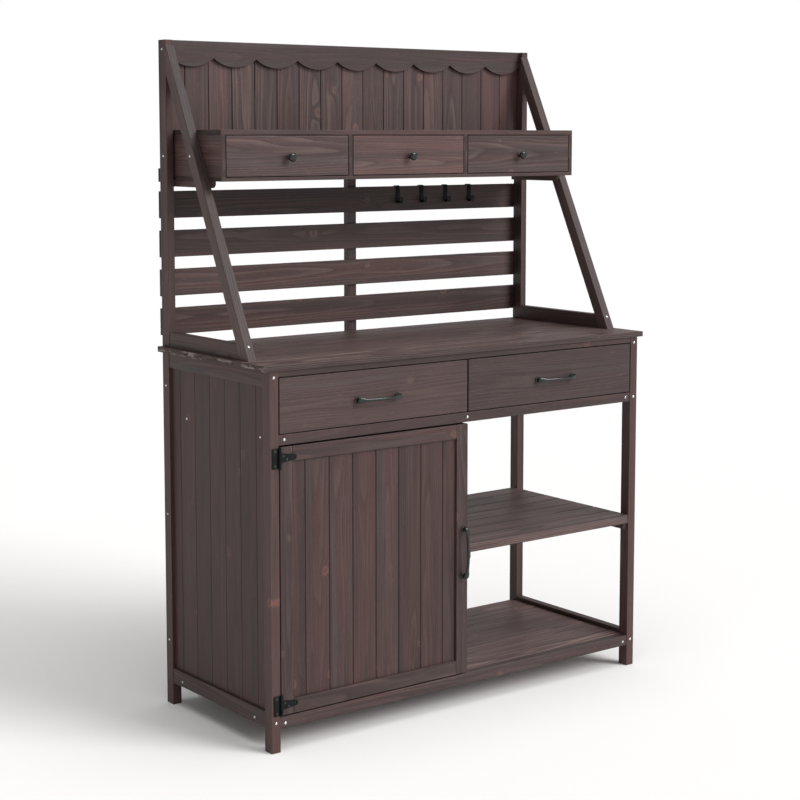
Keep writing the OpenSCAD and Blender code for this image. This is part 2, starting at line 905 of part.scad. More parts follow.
module screws() {
  color(zinc) {
    one_side_screws();
    mirror([1, 0, 0]) one_side_screws();
    for (y = [52, bench_d - 100])
      side_screw(y, drawer_z - runner_h / 2, x_left + board_in);
    front_screw(0, drawer_rail_z + drawer_rail_h / 2, rail_front);
    front_screw(x_right - leg_x / 2, drawer_rail_z + drawer_rail_h / 2);
  }
}

leg_front_left();
leg_front_right();
leg_back_left();
leg_back_right();
side_rails_left();
side_rails_right();
back_rails();
apron_rail();
drawer_rail();
front_bottom_rail();
side_boards();
cabinet_back_boards();
partition_posts();
partition_boards();
bottom_shelf_boards();
mid_shelf_front_board();
mid_shelf_boards();
shelf_cleats();
drawer_guides();
worktop_boards();
drawer_left_front();
drawer_left_box();
drawer_left_pull();
drawer_right_front();
drawer_right_box();
drawer_right_pull();
door_stiles();
door_rails();
door_boards();
door_pull();
hinge_plates();
hinge_straps();
hinge_pins();
catch_magnet();
catch_strike();
post_left();
post_right();
centre_post();
brace_left();
brace_right();
hutch_base_rails();
back_slats();
panel_rail();
hutch_boards();
valance();
box_top();
box_bottom();
box_uprights();
box_cleats();
small_drawer_left();
small_drawer_middle();
small_drawer_right();
knob_left();
knob_middle();
knob_right();
hook_1();
hook_2();
hook_3();
hook_4();
screws();
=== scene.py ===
import math
import random

import bmesh
import bpy
from mathutils import Matrix, Vector


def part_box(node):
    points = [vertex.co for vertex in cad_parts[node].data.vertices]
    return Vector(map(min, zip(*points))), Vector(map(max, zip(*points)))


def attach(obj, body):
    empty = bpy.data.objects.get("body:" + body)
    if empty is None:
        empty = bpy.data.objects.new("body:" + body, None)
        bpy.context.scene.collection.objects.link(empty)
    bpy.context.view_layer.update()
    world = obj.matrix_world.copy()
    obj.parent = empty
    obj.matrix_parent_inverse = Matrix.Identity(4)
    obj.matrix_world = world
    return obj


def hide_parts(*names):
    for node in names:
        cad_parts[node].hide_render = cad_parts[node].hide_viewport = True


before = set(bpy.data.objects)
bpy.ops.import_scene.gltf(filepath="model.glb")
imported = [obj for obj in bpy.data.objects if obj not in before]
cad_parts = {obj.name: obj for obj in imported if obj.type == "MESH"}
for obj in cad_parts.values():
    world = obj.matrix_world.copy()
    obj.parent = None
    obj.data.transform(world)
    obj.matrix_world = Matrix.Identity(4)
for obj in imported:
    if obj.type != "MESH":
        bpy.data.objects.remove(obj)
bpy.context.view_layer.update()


# ---- Legs
# Four legs of planed fir, 24 by 30 mm, sawn square at both ends, their arrises eased with a plane.
# Like every part of the bench they were dipped in a thin grey-brown stain, which the soft early wood
# drinks and the hard late wood keeps off.

MM = 0.001
X, Y, Z = 0, 1, 2
cuts = random.Random(11)


def cube(low, high):
    """A block of wood or metal between two corners."""
    bpy.ops.object.select_all(action="DESELECT")
    bpy.ops.mesh.primitive_cube_add(size=1, location=(low + high) / 2)
    block = bpy.context.active_object
    block.scale = high - low
    bpy.ops.object.transform_apply()
    return block


def eased_block(low, high, width):
    """A block with its edges rounded over."""
    block = cube(low, high)
    bpy.ops.object.mode_set(mode="EDIT")
    bpy.ops.mesh.select_all(action="SELECT")
    bpy.ops.mesh.bevel(offset=width, segments=2, affect="EDGES")
    bpy.ops.object.mode_set(mode="OBJECT")
    return block


def take_up(shape):
    """Select one shape alone and make it the active one."""
    bpy.ops.object.select_all(action="DESELECT")
    shape.select_set(True)
    bpy.context.view_layer.objects.active = shape


def pick(block, faces=None, edges=None):
    """In edit mode, select only the faces or the edges that pass a test."""
    shape = bmesh.from_edit_mesh(block.data)
    shape.normal_update()
    for part in (shape.faces, shape.edges, shape.verts):
        for item in part:
            item.select_set(False)
    for item in filter(faces or edges, shape.faces if faces else shape.edges):
        item.select_set(True)
    bmesh.update_edit_mesh(block.data)


def unit(axis, length=1.0):
    """A vector of that length along an axis."""
    vector = Vector((0, 0, 0))
    vector[axis] = length
    return vector


def cut_from_log(board, along, through, look=(0.15, 0.5, 0.4, 0.2)):
    """Store on a board where it lay in its log, how it took the stain, and which faces are edges.

    grain holds the distance along the log, across it and out from the pith, in metres.
    board holds how light it is, how warm, and how strongly its figure shows, most often from 0 to 1:
    look gives these three, and how far one board may be from the next.
    edge holds 1 on eased arrises, 1 in the V of a joint, and 1 on end grain. The joint channel also
    carries painted shade on the worktop's front lip.
    """
    mesh = board.data
    across = through.cross(along)
    middle = sum((v.co for v in mesh.vertices), Vector()) / len(mesh.vertices)
    log = Matrix((along * cuts.choice((-1, 1)), across, through))
    place = Vector((cuts.uniform(0, 40), cuts.uniform(-22, 22) * MM, cuts.uniform(28, 75) * MM))
    took = [value + cuts.uniform(-look[3], look[3]) for value in look[:3]]
    for name, where in (("grain", "POINT"), ("board", "FACE"), ("edge", "FACE")):
        if name not in mesh.attributes:
            mesh.attributes.new(name, "FLOAT_VECTOR", where)
    grain = [c for v in mesh.vertices for c in log @ (v.co - middle) + place]
    mesh.attributes["grain"].data.foreach_set("vector", grain)
    edges = []
    for face in mesh.polygons:
        longest = max((mesh.vertices[a].co - mesh.vertices[b].co).length for a, b in face.edge_keys)
        width = face.area / longest
        square = max(abs(c) for c in face.normal) > 0.999
        ends = abs(face.normal.dot(along)) > 0.4
        edges += [float(width < 0.9 * MM), float(not square and not ends and width > 0.9 * MM), float(ends)]
    mesh.attributes["board"].data.foreach_set("vector", took * len(mesh.polygons))
    mesh.attributes["edge"].data.foreach_set("vector", edges)
    return board


def plank(low, high, along, arris=0.9 * MM, look=(0.15, 0.5, 0.4, 0.2)):
    """A planed board between two corners, its grain along one axis and its arrises eased."""
    board = eased_block(low, high, arris)
    size = high - low
    through = min((axis for axis in (X, Y, Z) if axis != along), key=lambda axis: size[axis])
    return cut_from_log(board, unit(along), unit(through, cuts.choice((-1, 1))), look)


def join(name, parts, material):
    """Make several parts one piece, with one material."""
    bpy.ops.object.select_all(action="DESELECT")
    for part in parts:
        part.select_set(True)
    bpy.context.view_layer.objects.active = parts[0]
    if len(parts) > 1:
        bpy.ops.object.join()
    whole = bpy.context.active_object
    whole.name = whole.data.name = name
    whole.data.materials.clear()
    whole.data.materials.append(material)
    return whole


def stand_for(piece, body, slot, *nodes):
    """The piece moves with a body and is shown in place of its CAD nodes."""
    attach(piece, body)
    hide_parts(*nodes)


def linear(hex_colour):
    """An sRGB hex colour as linear RGBA."""
    parts = [int(hex_colour[i:i + 2], 16) / 255 for i in (1, 3, 5)]
    return [*(c / 12.92 if c <= 0.04045 else ((c + 0.055) / 1.055) ** 2.4 for c in parts), 1.0]


def add(tree, kind, inputs, out=0, **settings):
    """Add one node and return one of its outputs.

    A second word in kind is the node's operation. The inputs, set or linked, are given in order or
    by name.
    """
    kind, *operation = kind.split()
    node = tree.nodes.new("ShaderNode" + kind)
    if operation:
        node.operation = operation[0]
    for name, value in settings.items():
        setattr(node, name, value)
    for name, value in inputs.items() if isinstance(inputs, dict) else enumerate(inputs):
        if isinstance(value, bpy.types.NodeSocket):
            tree.links.new(value, node.inputs[name])
        else:
            node.inputs[name].default_value = value
    return node.outputs[out]


def fir(name, early, deep, late, warm, grey, knotty, sawn, roughness):
    """Stained fir: growth rings about the pith of each board's log, bent round its knots."""
    material = bpy.data.materials.new(name)
    material.use_nodes = True
    tree = material.node_tree
    tree.nodes.clear()
    soft = {"interpolation_type": "SMOOTHSTEP"}

    grain = add(tree, "Attribute", {}, "Vector", attribute_name="grain")
    took = add(tree, "Attribute", {}, "Vector", attribute_name="board")
    edge = add(tree, "Attribute", {}, "Vector", attribute_name="edge")
    light, warmth, figure = (add(tree, "SeparateXYZ", (took,), axis) for axis in (X, Y, Z))
    arris, joint, end = (add(tree, "SeparateXYZ", (edge,), axis) for axis in (X, Y, Z))

    # A log isn't straight: its rings wander by a few millimetres over a hand's length
    slow = add(tree, "VectorMath MULTIPLY", (grain, (2.2, 14, 14)))
    drift = add(tree, "TexNoise", {"Vector": slow, "Scale": 1.0, "Detail": 2.0}, "Color")
    drift = add(tree, "VectorMath SUBTRACT", (drift, (0.5, 0.5, 0.5)))
    drift = add(tree, "VectorMath MULTIPLY", (drift, (0, 14 * MM, 14 * MM)))
    wood = add(tree, "VectorMath ADD", (grain, drift))
    elsewhere = add(tree, "VectorMath ADD", (wood, (7.3, 0.4, 0.9)))

    # The stain lies in streaks a few millimetres wide, and in warmer and greyer bands. Each mark is
    # drawn out along the grain: its repeats per metre along and across it, and its detail
    marks = {}
    for mark, place, lengthways, across, detail in (
        ("ragged", grain, 260, 260, 2.0), ("streak", wood, 2.2, 210, 3.0), ("band", wood, 1.0, 34, 3.0),
        ("other band", elsewhere, 1.3, 26, 3.0), ("cloud", grain, 8, 26, 4.0), ("fibre", wood, 14, 900, 2.0),
        ("fleck", grain, 60, 360, 2.0), ("line", wood, 1.4, 330, 2.0), ("speckle", grain, 300, 300, 2.0),
        ("wear", grain, 9, 40, 3.0),
    ):
        drawn_out = add(tree, "VectorMath MULTIPLY", (place, (lengthways, across, across)))
        pattern = {"Vector": drawn_out, "Scale": 1.0, "Detail": detail, "Roughness": 0.6}
        marks[mark] = add(tree, "TexNoise", pattern)
    fibre = marks["fibre"]
    streak = add(tree, "MapRange", (marks["streak"], 0.32, 0.68), **soft)
    line = add(tree, "MapRange", (marks["line"], 0.54, 0.68), **soft)
    speckle = add(tree, "MapRange", (marks["speckle"], 0.35, 0.65, 0.2, 1.0), **soft)
    pale_fleck = add(tree, "MapRange", (marks["fleck"], 0.62, 0.76, 0.0, 0.5), **soft)
    dark_fleck = add(tree, "MapRange", (marks["fleck"], 0.38, 0.26, 0.0, 0.6), **soft)

    # Knots: a scatter of places about 250 mm apart along the log, half of them with one up to 12 mm across
    sown = add(tree, "VectorMath MULTIPLY", (wood, (4.0, 11.0, 0.0)))
    knot = {"Vector": sown, "Scale": 1.0, "Randomness": 1.0}
    centre = add(tree, "TexVoronoi", knot, "Position", voronoi_dimensions="2D")
    chance = add(tree, "SeparateColor", (add(tree, "TexVoronoi", knot, "Color", voronoi_dimensions="2D"),))
    apart = add(tree, "VectorMath SUBTRACT", (sown, centre))
    apart = add(tree, "VectorMath DIVIDE", (apart, (5.2, 11.0, 1.0)))
    ragged = add(tree, "VectorMath SUBTRACT", (marks["ragged"], (0.5, 0.5, 0.5)))
    ragged = add(tree, "VectorMath MULTIPLY", (ragged, (3 * MM, 3 * MM, 0)))
    away = add(tree, "VectorMath LENGTH", (add(tree, "VectorMath ADD", (apart, ragged)),), "Value")
    size = add(tree, "MapRange", (chance, 0.48, 1.0, 0.05 * MM, 5.8 * MM), **soft)
    near = add(tree, "Math DIVIDE", (away, size))
    heart = add(tree, "MapRange", (near, 1.1, 0.5), **soft)
    inner = add(tree, "MapRange", (near, 0.5, 1.1), **soft)
    outer = add(tree, "MapRange", (near, 2.0, 1.1), **soft)
    rim = add(tree, "Math MULTIPLY", (inner, outer))

    # Growth rings 3.4 mm apart swell round the knots, and the log's taper draws them out into long
    # arches on a flat-sawn face. The late wood darkens slowly across a ring and ends sharply
    fade = add(tree, "Math POWER", (add(tree, "Math MULTIPLY", (near, 0.42)), 2.0))
    fade = add(tree, "Math EXPONENT", (add(tree, "Math MULTIPLY", (fade, -1.0)),))
    swell = add(tree, "Math MULTIPLY", (add(tree, "Math MULTIPLY", (size, 0.85)), fade))
    radius = add(tree, "VectorMath MULTIPLY", (wood, (0, 1, 1)))
    radius = add(tree, "VectorMath LENGTH", (radius,), "Value")
    length = add(tree, "SeparateXYZ", (wood,))
    radius = add(tree, "Math ADD", (add(tree, "Math MULTIPLY_ADD", (length, 0.008, radius)), swell))
    ring = add(tree, "Math FRACT", (add(tree, "Math DIVIDE", (radius, 3.4 * MM)),))
    rise = add(tree, "MapRange", (ring, 0.35, 0.88), **soft)
    drop = add(tree, "MapRange", (ring, 1.0, 0.9), **soft)
    latewood = add(tree, "Math MULTIPLY", (rise, drop))
    ring_foot = add(tree, "MapRange", (ring, 0.2, 0.0), **soft)
    banded = add(tree, "MapRange", (marks["band"], 0.3, 0.7, 0.3, 1.0), **soft)
    rings = add(tree, "Math MULTIPLY", (latewood, add(tree, "Math MULTIPLY", (figure, banded))))

    # Stain that took more or less in each place: sawn ends drink it unevenly, eased arrises are
    # rubbed pale in places, and knots show the more the warmer the board
    glow = add(tree, "Math MULTIPLY_ADD", (warmth, 0.34, -0.17))
    glow = add(tree, "Math ADD", (marks["band"], glow))
    warmer = add(tree, "MapRange", (glow, 0.44, 0.72, 0.0, 0.85), **soft)
    greyer = add(tree, "MapRange", (marks["other band"], 0.5, 0.72, 0.0, 0.6), **soft)
    dark_line = add(tree, "Math MULTIPLY", (line, add(tree, "Math MULTIPLY_ADD", (figure, 0.6, 0.2))))
    knot_rim = add(tree, "Math MULTIPLY", (rim, add(tree, "Math MULTIPLY_ADD", (warmth, 0.5, 0.3))))
    end_marks = add(tree, "VectorMath MULTIPLY", (grain, (0, 20, 110)))
    end_marks = add(tree, "TexNoise", {"Vector": end_marks, "Scale": 1.0, "Detail": 3.0})
    end_marks = add(tree, "MapRange", (end_marks, 0.5, 0.62), **soft)
    torn = add(tree, "MapRange", (figure, 0.8, 1.0, 0.15, 1.0), **soft)
    end_marks = add(tree, "Math MULTIPLY", (end_marks, torn))
    ends = {0: end_marks, 6: linear(deep), 7: linear(sawn)}
    ends = add(tree, "Mix", ends, 2, data_type="RGBA")
    rubbed = add(tree, "MapRange", (marks["wear"], 0.54, 0.68), **soft)
    rubbed = add(tree, "Math MULTIPLY", (arris, rubbed))
    half_heart = add(tree, "Math MULTIPLY", (heart, 0.5))

    colour = linear(early)
    for amount, tint in (
        (add(tree, "Math MULTIPLY", (streak, 0.6)), linear(deep)),
        (warmer, linear(warm)),
        (greyer, linear(grey)),
        (rings, linear(late)),
        (add(tree, "Math MULTIPLY", (ring_foot, figure)), linear(deep)),
        (dark_line, linear(deep)),
        (pale_fleck, linear(late)),
        (dark_fleck, linear(deep)),
        (add(tree, "Math MULTIPLY", (knot_rim, speckle)), linear(knotty)),
        (add(tree, "Math MULTIPLY", (half_heart, speckle)), linear(late)),
        (add(tree, "Math MULTIPLY", (end, 0.85)), ends),
        (add(tree, "Math MULTIPLY", (rubbed, 0.5)), linear(late)),
    ):
        colour = add(tree, "Mix", {0: amount, 6: colour, 7: tint}, 2, data_type="RGBA")

    # How light each board is, then how that changes from fibre to fibre, from cloud to cloud, and
    # where stain pooled in the joints; the joint channel also carries painted shade on the worktop's lip
    joint_stain_and_lip_shade = add(tree, "Math MULTIPLY", (joint, add(tree, "Math MULTIPLY_ADD", (figure, -0.55, -0.15))))
    tone = add(tree, "Math MULTIPLY_ADD", (light, 0.46, 0.78))
    for change in (
        add(tree, "Math MULTIPLY_ADD", (fibre, 0.26, 0.87)),
        add(tree, "Math MULTIPLY_ADD", (marks["cloud"], 0.5, 0.75)),
        add(tree, "Math ADD", (joint_stain_and_lip_shade, 1.0)),
    ):
        tone = add(tree, "Math MULTIPLY", (tone, change))
    colour = add(tree, "VectorMath SCALE", {0: colour, "Scale": tone})

    relief = add(tree, "Math MULTIPLY_ADD", (fibre, 0.9, streak))
    relief = add(tree, "Math MULTIPLY_ADD", (rings, 0.8, relief))
    bump = add(tree, "Bump", {"Height": relief, "Strength": 0.45, "Distance": 0.2 * MM})
    gloss = add(tree, "Math MULTIPLY_ADD", (end, 0.15, roughness - 0.1))
    gloss = add(tree, "Math MULTIPLY_ADD", (fibre, 0.2, gloss))
    shader = {
        "Base Color": colour, "Roughness": gloss, "Normal": bump, "Specular IOR Level": 0.32,
    }
    surface = add(tree, "BsdfPrincipled", shader)
    finish = tree.nodes.new("ShaderNodeOutputMaterial")
    tree.links.new(surface, finish.inputs["Surface"])
    return material


# The grey-brown dipped stain, matt, with darker streaks and rubbed light lines along the late wood
stained_fir = fir(
    "stained_fir", early="#453433", deep="#332625", late="#695852", warm="#553835",
    grey="#4b4142", knotty="#855a4c", sawn="#756a65", roughness=0.5,
)
reddish = (0.1, 1.0, 0.3, 0.1)


def timber(name, parts, body, *nodes):
    """Join stained boards into one piece, which moves with a body in place of its CAD nodes."""
    stand_for(join(name, parts, stained_fir), body, "stained_fir", *nodes)


for node in ("leg_front_left", "leg_front_right", "leg_back_left", "leg_back_right"):
    low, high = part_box(node)
    timber(node.replace("leg_", "") + "_leg", [plank(low, high, Z, look=reddish)], "frame", node)


# ---- Rails
# Planed fir rails between the legs: at the top and bottom of each side, at the back, and three across
# the front. They are glued and screwed from inside, a millimetre behind the faces of the legs.

side_rail_h = 38 * MM


def stacked(low, high, heights):
    """Rails one above another inside a box: each is given as its foot and its height."""
    rails = []
    for foot, height in heights:
        a = Vector((low.x, low.y, foot))
        b = Vector((high.x, high.y, foot + height))
        rails.append((a, b))
    return rails


low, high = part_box("side_rails_left")
heights = ((low.z, side_rail_h), (high.z - side_rail_h, side_rail_h))
rails = [plank(a, b, Y) for a, b in stacked(low, high, heights)]
timber("left_side_rails", rails, "frame", "side_rails_left")

drawer_rail_low, drawer_rail_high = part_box("drawer_rail")
low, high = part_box("side_rails_right")
drawer_rail_h = drawer_rail_high.z - drawer_rail_low.z
heights = (*heights, (drawer_rail_low.z, drawer_rail_h))
rails = [plank(a, b, Y) for a, b in stacked(low, high, heights)]
timber("right_side_rails", rails, "frame", "side_rails_right")

bearer_h = 17 * MM
bearer_back = 14 * MM
low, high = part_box("back_rails")
top_rail = (Vector((low.x, high.y - 23 * MM, high.z - side_rail_h)), high)
bearer = (low, Vector((high.x, high.y + 1 * MM - bearer_back, low.z + bearer_h)))
rails = [plank(a, b, X) for a, b in (top_rail, bearer)]
timber("back_rails_timber", rails, "frame", "back_rails")

for node in ("apron_rail", "drawer_rail", "front_bottom_rail"):
    low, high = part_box(node)
    timber(node + "_timber", [plank(low, high, X)], "frame", node)


# ---- Side boards
# Tongue and groove boards with a V at each joint, 68 mm wide and 9 mm thick, slid dry into grooves in
# the side rails. The left side is boarded from top to bottom, the right one beside the drawer only.

board_gap = 0.5 * MM


def tongued(low, high, along, across, face, groove, tongue, vee, look):
    """One tongue and groove board: face is the way its show side looks, along the third axis."""
    thick = X + Y + Z - along - across
    tongue_l = 5 * MM
    tongue_t = 3 * MM
    board = cube(low, high)
    middle = (low + high) / 2
    show = high[thick] if face > 0 else low[thick]
    near = 0.01 * MM
    bpy.ops.object.mode_set(mode="EDIT")
    for side in (-1, 1):
        level = middle + unit(thick, side * tongue_t / 2)
        bpy.ops.mesh.select_all(action="SELECT")
        bpy.ops.mesh.bisect(plane_co=level, plane_no=unit(thick))
    for wanted, side, reach in ((tongue, 1, tongue_l), (groove, -1, tongue_l + 1 * MM)):
        if not wanted:
            continue
        edge = high[across] if side > 0 else low[across]
        pick(board, faces=lambda f: (
            abs(f.calc_center_median()[across] - edge) < near
            and abs(f.calc_center_median()[thick] - middle[thick]) < tongue_t / 4
        ))
        bpy.ops.mesh.extrude_region_move(TRANSFORM_OT_translate={"value": unit(across, reach)})
    joints = [low[across]] * groove + [high[across]] * tongue
    pick(board, edges=lambda e: all(
        abs(v.co[thick] - show) < near and any(abs(v.co[across] - joint) < near for joint in joints)
        for v in e.verts
    ) and abs(e.verts[0].co[across] - e.verts[1].co[across]) < near)
    bpy.ops.mesh.bevel(offset=vee, segments=1, affect="EDGES")
    bpy.ops.object.mode_set(mode="OBJECT")
    return cut_from_log(board, unit(along), unit(thick, cuts.choice((-1, 1))), look)


def boarding(low, high, widths, along, across, face, vee=1.4 * MM, look=(0.2, 0.5, 0.3, 0.2)):
    """Tongue and groove boards side by side, filling a box."""
    boards = []
    edge = low[across]
    for i, width in enumerate(widths):
        a, b = low.copy(), high.copy()
        a[across] = edge
        b[across] = edge + width - board_gap
        boards.append(tongued(a, b, along, across, face, i > 0, i < len(widths) - 1, vee, look))
        edge += width
    return boards


def with_ends(total, count, width):
    """Widths of a row of whole boards with two equal narrower ones at its ends."""
    end = (total - count * width) / 2
    return [end, *[width] * count, end]


board_w = 68 * MM
board_t = 9 * MM
low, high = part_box("side_boards")
widths = with_ends(high.y - low.y, 5, board_w)
right_foot = drawer_rail_high.z - 6 * MM
# The side boards are made darker: painted shade, for less light on the lower cabinet and its left side
shaded_sides_look = (-0.25, 1.1, 0.2, 0.1)
left = boarding(low, Vector((low.x + board_t, high.y, high.z)), widths, Z, Y, -1, look=shaded_sides_look)
right = boarding(Vector((high.x - board_t, low.y, right_foot)), high, widths, Z, Y, 1, look=shaded_sides_look)
timber("side_panels", left + right, "frame", "side_boards")


# ---- Cabinet back and partition
# The same boards close the back of the cabinet and part it from the open shelves. The partition
# stands between two posts, which also carry the bars of the drawers.

low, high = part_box("cabinet_back_boards")
back = boarding(low, high, with_ends(high.x - low.x, 7, board_w), Z, X, 1)
timber("cabinet_back", back, "frame", "cabinet_back_boards")

low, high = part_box("partition_posts")
post_d = 30 * MM
front = plank(low, Vector((high.x, low.y + post_d, high.z)), Z)
rear = plank(Vector((low.x, high.y - post_d, low.z)), high, Z)
timber("partition_posts_timber", [front, rear], "frame", "partition_posts")

low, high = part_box("partition_boards")
boards = boarding(low, high, with_ends(high.y - low.y, 4, board_w), Z, Y, 1)
timber("partition", boards, "frame", "partition_boards")


# ---- Shelves
# The bottom shelf is tongue and groove, nailed on cleats. The middle one has a thick front board and
# six loose slats with 2 mm joints. The cleats under them are sawn fir, screwed to legs and partition.

shelf_count = 7
low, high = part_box("bottom_shelf_boards")
front_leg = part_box("leg_front_left")[0].y
shelf_pitch = (high.y - front_leg) / shelf_count
first = shelf_pitch - (low.y - front_leg)
pale = (1.4, 0.0, 0.9, 0.2)
widths = [first, *[shelf_pitch] * (shelf_count - 1)]
# The bottom shelf's boards are made much lighter: painted light against the shade of the middle shelf above
boards = boarding(low, high, widths, X, Y, 1, 1.4 * MM, (2.6, 0.0, 0.7, 0.2))
timber("bottom_shelf", boards, "frame", "bottom_shelf_boards")

low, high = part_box("mid_shelf_front_board")
timber("middle_shelf_front", [plank(low, high, X, 2 * MM, pale)], "frame", "mid_shelf_front_board")

low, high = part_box("mid_shelf_boards")
slats = []
for i in range(shelf_count - 1):
    near_edge = low.y + i * shelf_pitch
    a = Vector((low.x, near_edge, low.z))
    b = Vector((high.x, near_edge + shelf_pitch - 2 * MM, high.z))
    slats.append(plank(a, b, X, 2 * MM, pale))
timber("middle_shelf_slats", slats, "frame", "mid_shelf_boards")

cleat_w = 14 * MM
cleat_h = 15 * MM
low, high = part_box("shelf_cleats")
shelf_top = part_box("mid_shelf_front_board")
partition_low, partition_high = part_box("partition_posts")
rail_back = drawer_rail_high.y
under_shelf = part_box("bottom_shelf_boards")[0].z
bearer_rear = high.y - 24 * MM
cleats = []
for x0, x1 in (
    (low.x, low.x + cleat_w), (high.x - cleat_w, high.x), (partition_low.x, partition_high.x),
):
    cleats.append(plank(Vector((x0, rail_back, low.z)), Vector((x1, bearer_rear, under_shelf)), Y))
for x0 in (partition_high.x, high.x - cleat_w):
    foot = shelf_top[0].z - cleat_h
    step = shelf_top[1].y + 2 * MM
    front_end = Vector((x0, front_leg + 6 * MM, foot))
    cleats.append(plank(front_end, Vector((x0 + cleat_w, step, foot + cleat_h)), Y))
    cleats.append(plank(Vector((x0, step, foot)), Vector((x0 + cleat_w, high.y, high.z)), Y))
timber("shelf_cleats_timber", cleats, "frame", "shelf_cleats")


# ---- Drawer guides
# An upright board on edge between the two drawers, and four bars that they run on, all planed fir.

low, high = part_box("drawer_guides")
divider_t = 12 * MM
runner_w = 18 * MM
runner_gap = 0.15 * MM
bar_low = drawer_rail_high.z - 18 * MM
bar_high = drawer_rail_high.z
divider_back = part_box("back_rails")[1].y - 23 * MM
shelf_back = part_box("partition_posts")[1].y
bars = [plank(Vector((-divider_t / 2, low.y, low.z)), Vector((divider_t / 2, divider_back, high.z)), Y)]
for x0, back_end in (
    (low.x, shelf_back), (high.x - runner_w, high.y),
    (divider_t / 2 + runner_gap, divider_back), (-divider_t / 2 - runner_gap - runner_w, divider_back),
):
    bars.append(plank(Vector((x0, low.y, bar_low)), Vector((x0 + runner_w, back_end, bar_high)), Y))
timber("drawer_guide_bars", bars, "frame", "drawer_guides")


# ---- Worktop
# Seven tongue and groove boards glued edge to edge and planed, so that only a fine line shows at each
# joint. The top overhangs the front and the sides, and its end grain shows at the left.

low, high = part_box("worktop_boards")
top_boards = 7
widths = [(high.y - low.y) / top_boards] * top_boards
boards = boarding(low, high, widths, X, Y, 1, 1.0 * MM, (1.2, 0.1, 0.95, 0.3))

# Painted shade: the worktop's front lip is darkened through the joint channel, like shade under its edge
painted_lip_shade = 0.6
lip = boards[0].data
for face in lip.polygons:
    if face.normal.y < -0.7:
        lip.attributes["edge"].data[face.index].vector = (0, painted_lip_shade, 0)
timber("worktop", boards, "frame", "worktop_boards")


# ---- Large drawers
# Each drawer is a box of thin stained fir behind one wide planed front. The sides and back are 12 mm,
# the bottom a 5 mm board held in grooves, and the front is screwed on from inside.

# The same stain thinned: the fir's own warm colour shows through, and the surface is rougher
plain_fir = fir(
    "thinly_stained_fir", early="#5c4843", deep="#483834", late="#7e6457", warm="#6e4f45",
    grey="#5f5352", knotty="#8d6350", sawn="#7d7068", roughness=0.66,
)


def tray(low, high, side_t, bottom_t):
    """The box of a drawer inside its CAD box: two sides, a back and a bottom."""
    bite = 3.8 * MM
    bottom_z = low.z + 6 * MM
    sides = [
        plank(low, Vector((low.x + side_t, high.y, high.z)), Y),
        plank(Vector((high.x - side_t, low.y, low.z)), high, Y),
    ]
    back = plank(
        Vector((low.x + side_t, high.y - side_t, bottom_z + bottom_t)),
        Vector((high.x - side_t, high.y, high.z)), X,
    )
    bottom = plank(
        Vector((low.x + side_t - bite, low.y, bottom_z)),
        Vector((high.x - side_t + bite, high.y, bottom_z + bottom_t)), Y, 0.4 * MM,
    )
    return [*sides, back, bottom]


play = Vector((0.6 * MM, 0, 0.6 * MM))
for side, light in (("left", 0.6), ("right", 0.1)):
    low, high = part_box(f"drawer_{side}_front")
    board = plank(low + play, high - play, X, 1.2 * MM, (light, 0.0, 0.3, 0.05))
    timber(f"{side}_drawer_front", [board], f"drawer_{side}", f"drawer_{side}_front")
    low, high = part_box(f"drawer_{side}_box")
    box = join(f"{side}_drawer_box", tray(low, high, 12 * MM, 5 * MM), plain_fir)
    stand_for(box, f"drawer_{side}", "plain_fir", f"drawer_{side}_box")


# ---- Door
# Two stiles and two rails, 35 by 20 mm, with a groove all round that holds a field of tongue and
# groove boards, 6 mm behind the face.

low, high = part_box("door_stiles")
stile_w = 35 * MM
stiles = [
    plank(low, Vector((low.x + stile_w, high.y, high.z)), Z, 1.2 * MM),
    plank(Vector((high.x - stile_w, low.y, low.z)), high, Z, 1.2 * MM),
]
timber("door_stile_pair", stiles, "door", "door_stiles")

low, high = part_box("door_rails")
rails = [
    plank(low, Vector((high.x, high.y, low.z + stile_w)), X, 1.2 * MM),
    plank(Vector((low.x, low.y, high.z - stile_w)), high, X, 1.2 * MM),
]
timber("door_rail_pair", rails, "door", "door_rails")

low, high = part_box("door_boards")
# The field's boards are made darker: painted shade, for less light low on the bench
boards = boarding(low, high, with_ends(high.x - low.x, 6, 67.5 * MM), Z, X, -1, look=(-0.25, 0.85, 0.3, 0.15))
timber("door_field", boards, "door", "door_boards")


# ---- Hutch posts, braces and rails
# Two posts stand on the worktop at the back. A brace slopes from the front of the worktop up to each
# post, and a low rail ties their feet. A batten runs up the middle behind the slats.

for node in ("post_left", "post_right"):
    low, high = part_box(node)
    timber("hutch_" + node, [plank(low, high, Z)], "frame", node)

low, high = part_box("centre_post")
timber("centre_batten", [plank(low, high, Z)], "frame", "centre_post")

brace_angle = math.radians(26.1)
brace_d = 30 * MM
slope = Vector((0, math.sin(brace_angle), math.cos(brace_angle)))
square_to_slope = Vector((0, math.cos(brace_angle), -math.sin(brace_angle)))


def saw(board, point, normal):
    """Cut a board with a plane and take away what lies beyond it."""
    bpy.ops.object.mode_set(mode="EDIT")
    bpy.ops.mesh.select_all(action="SELECT")
    bpy.ops.mesh.bisect(plane_co=point, plane_no=normal, use_fill=True, clear_outer=True)
    bpy.ops.object.mode_set(mode="OBJECT")


for node in ("brace_left", "brace_right"):
    low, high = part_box(node)
    spare = 60 * MM
    length = (high.z - low.z) / math.cos(brace_angle)
    bright = (1.05, 0.4, 0.5, 0.1)
    bar = plank(
        Vector((low.x, 0, -spare)), Vector((high.x, brace_d, length + spare)), Z, 1.2 * MM, bright,
    )
    bar.rotation_euler = (-brace_angle, 0, 0)
    bar.location = (0, low.y, low.z)
    bpy.ops.object.transform_apply()
    saw(bar, low, unit(Z, -1))
    saw(bar, high, unit(Y))
    cut_from_log(bar, slope, square_to_slope, bright)
    timber("sloping_" + node, [bar], "frame", node)

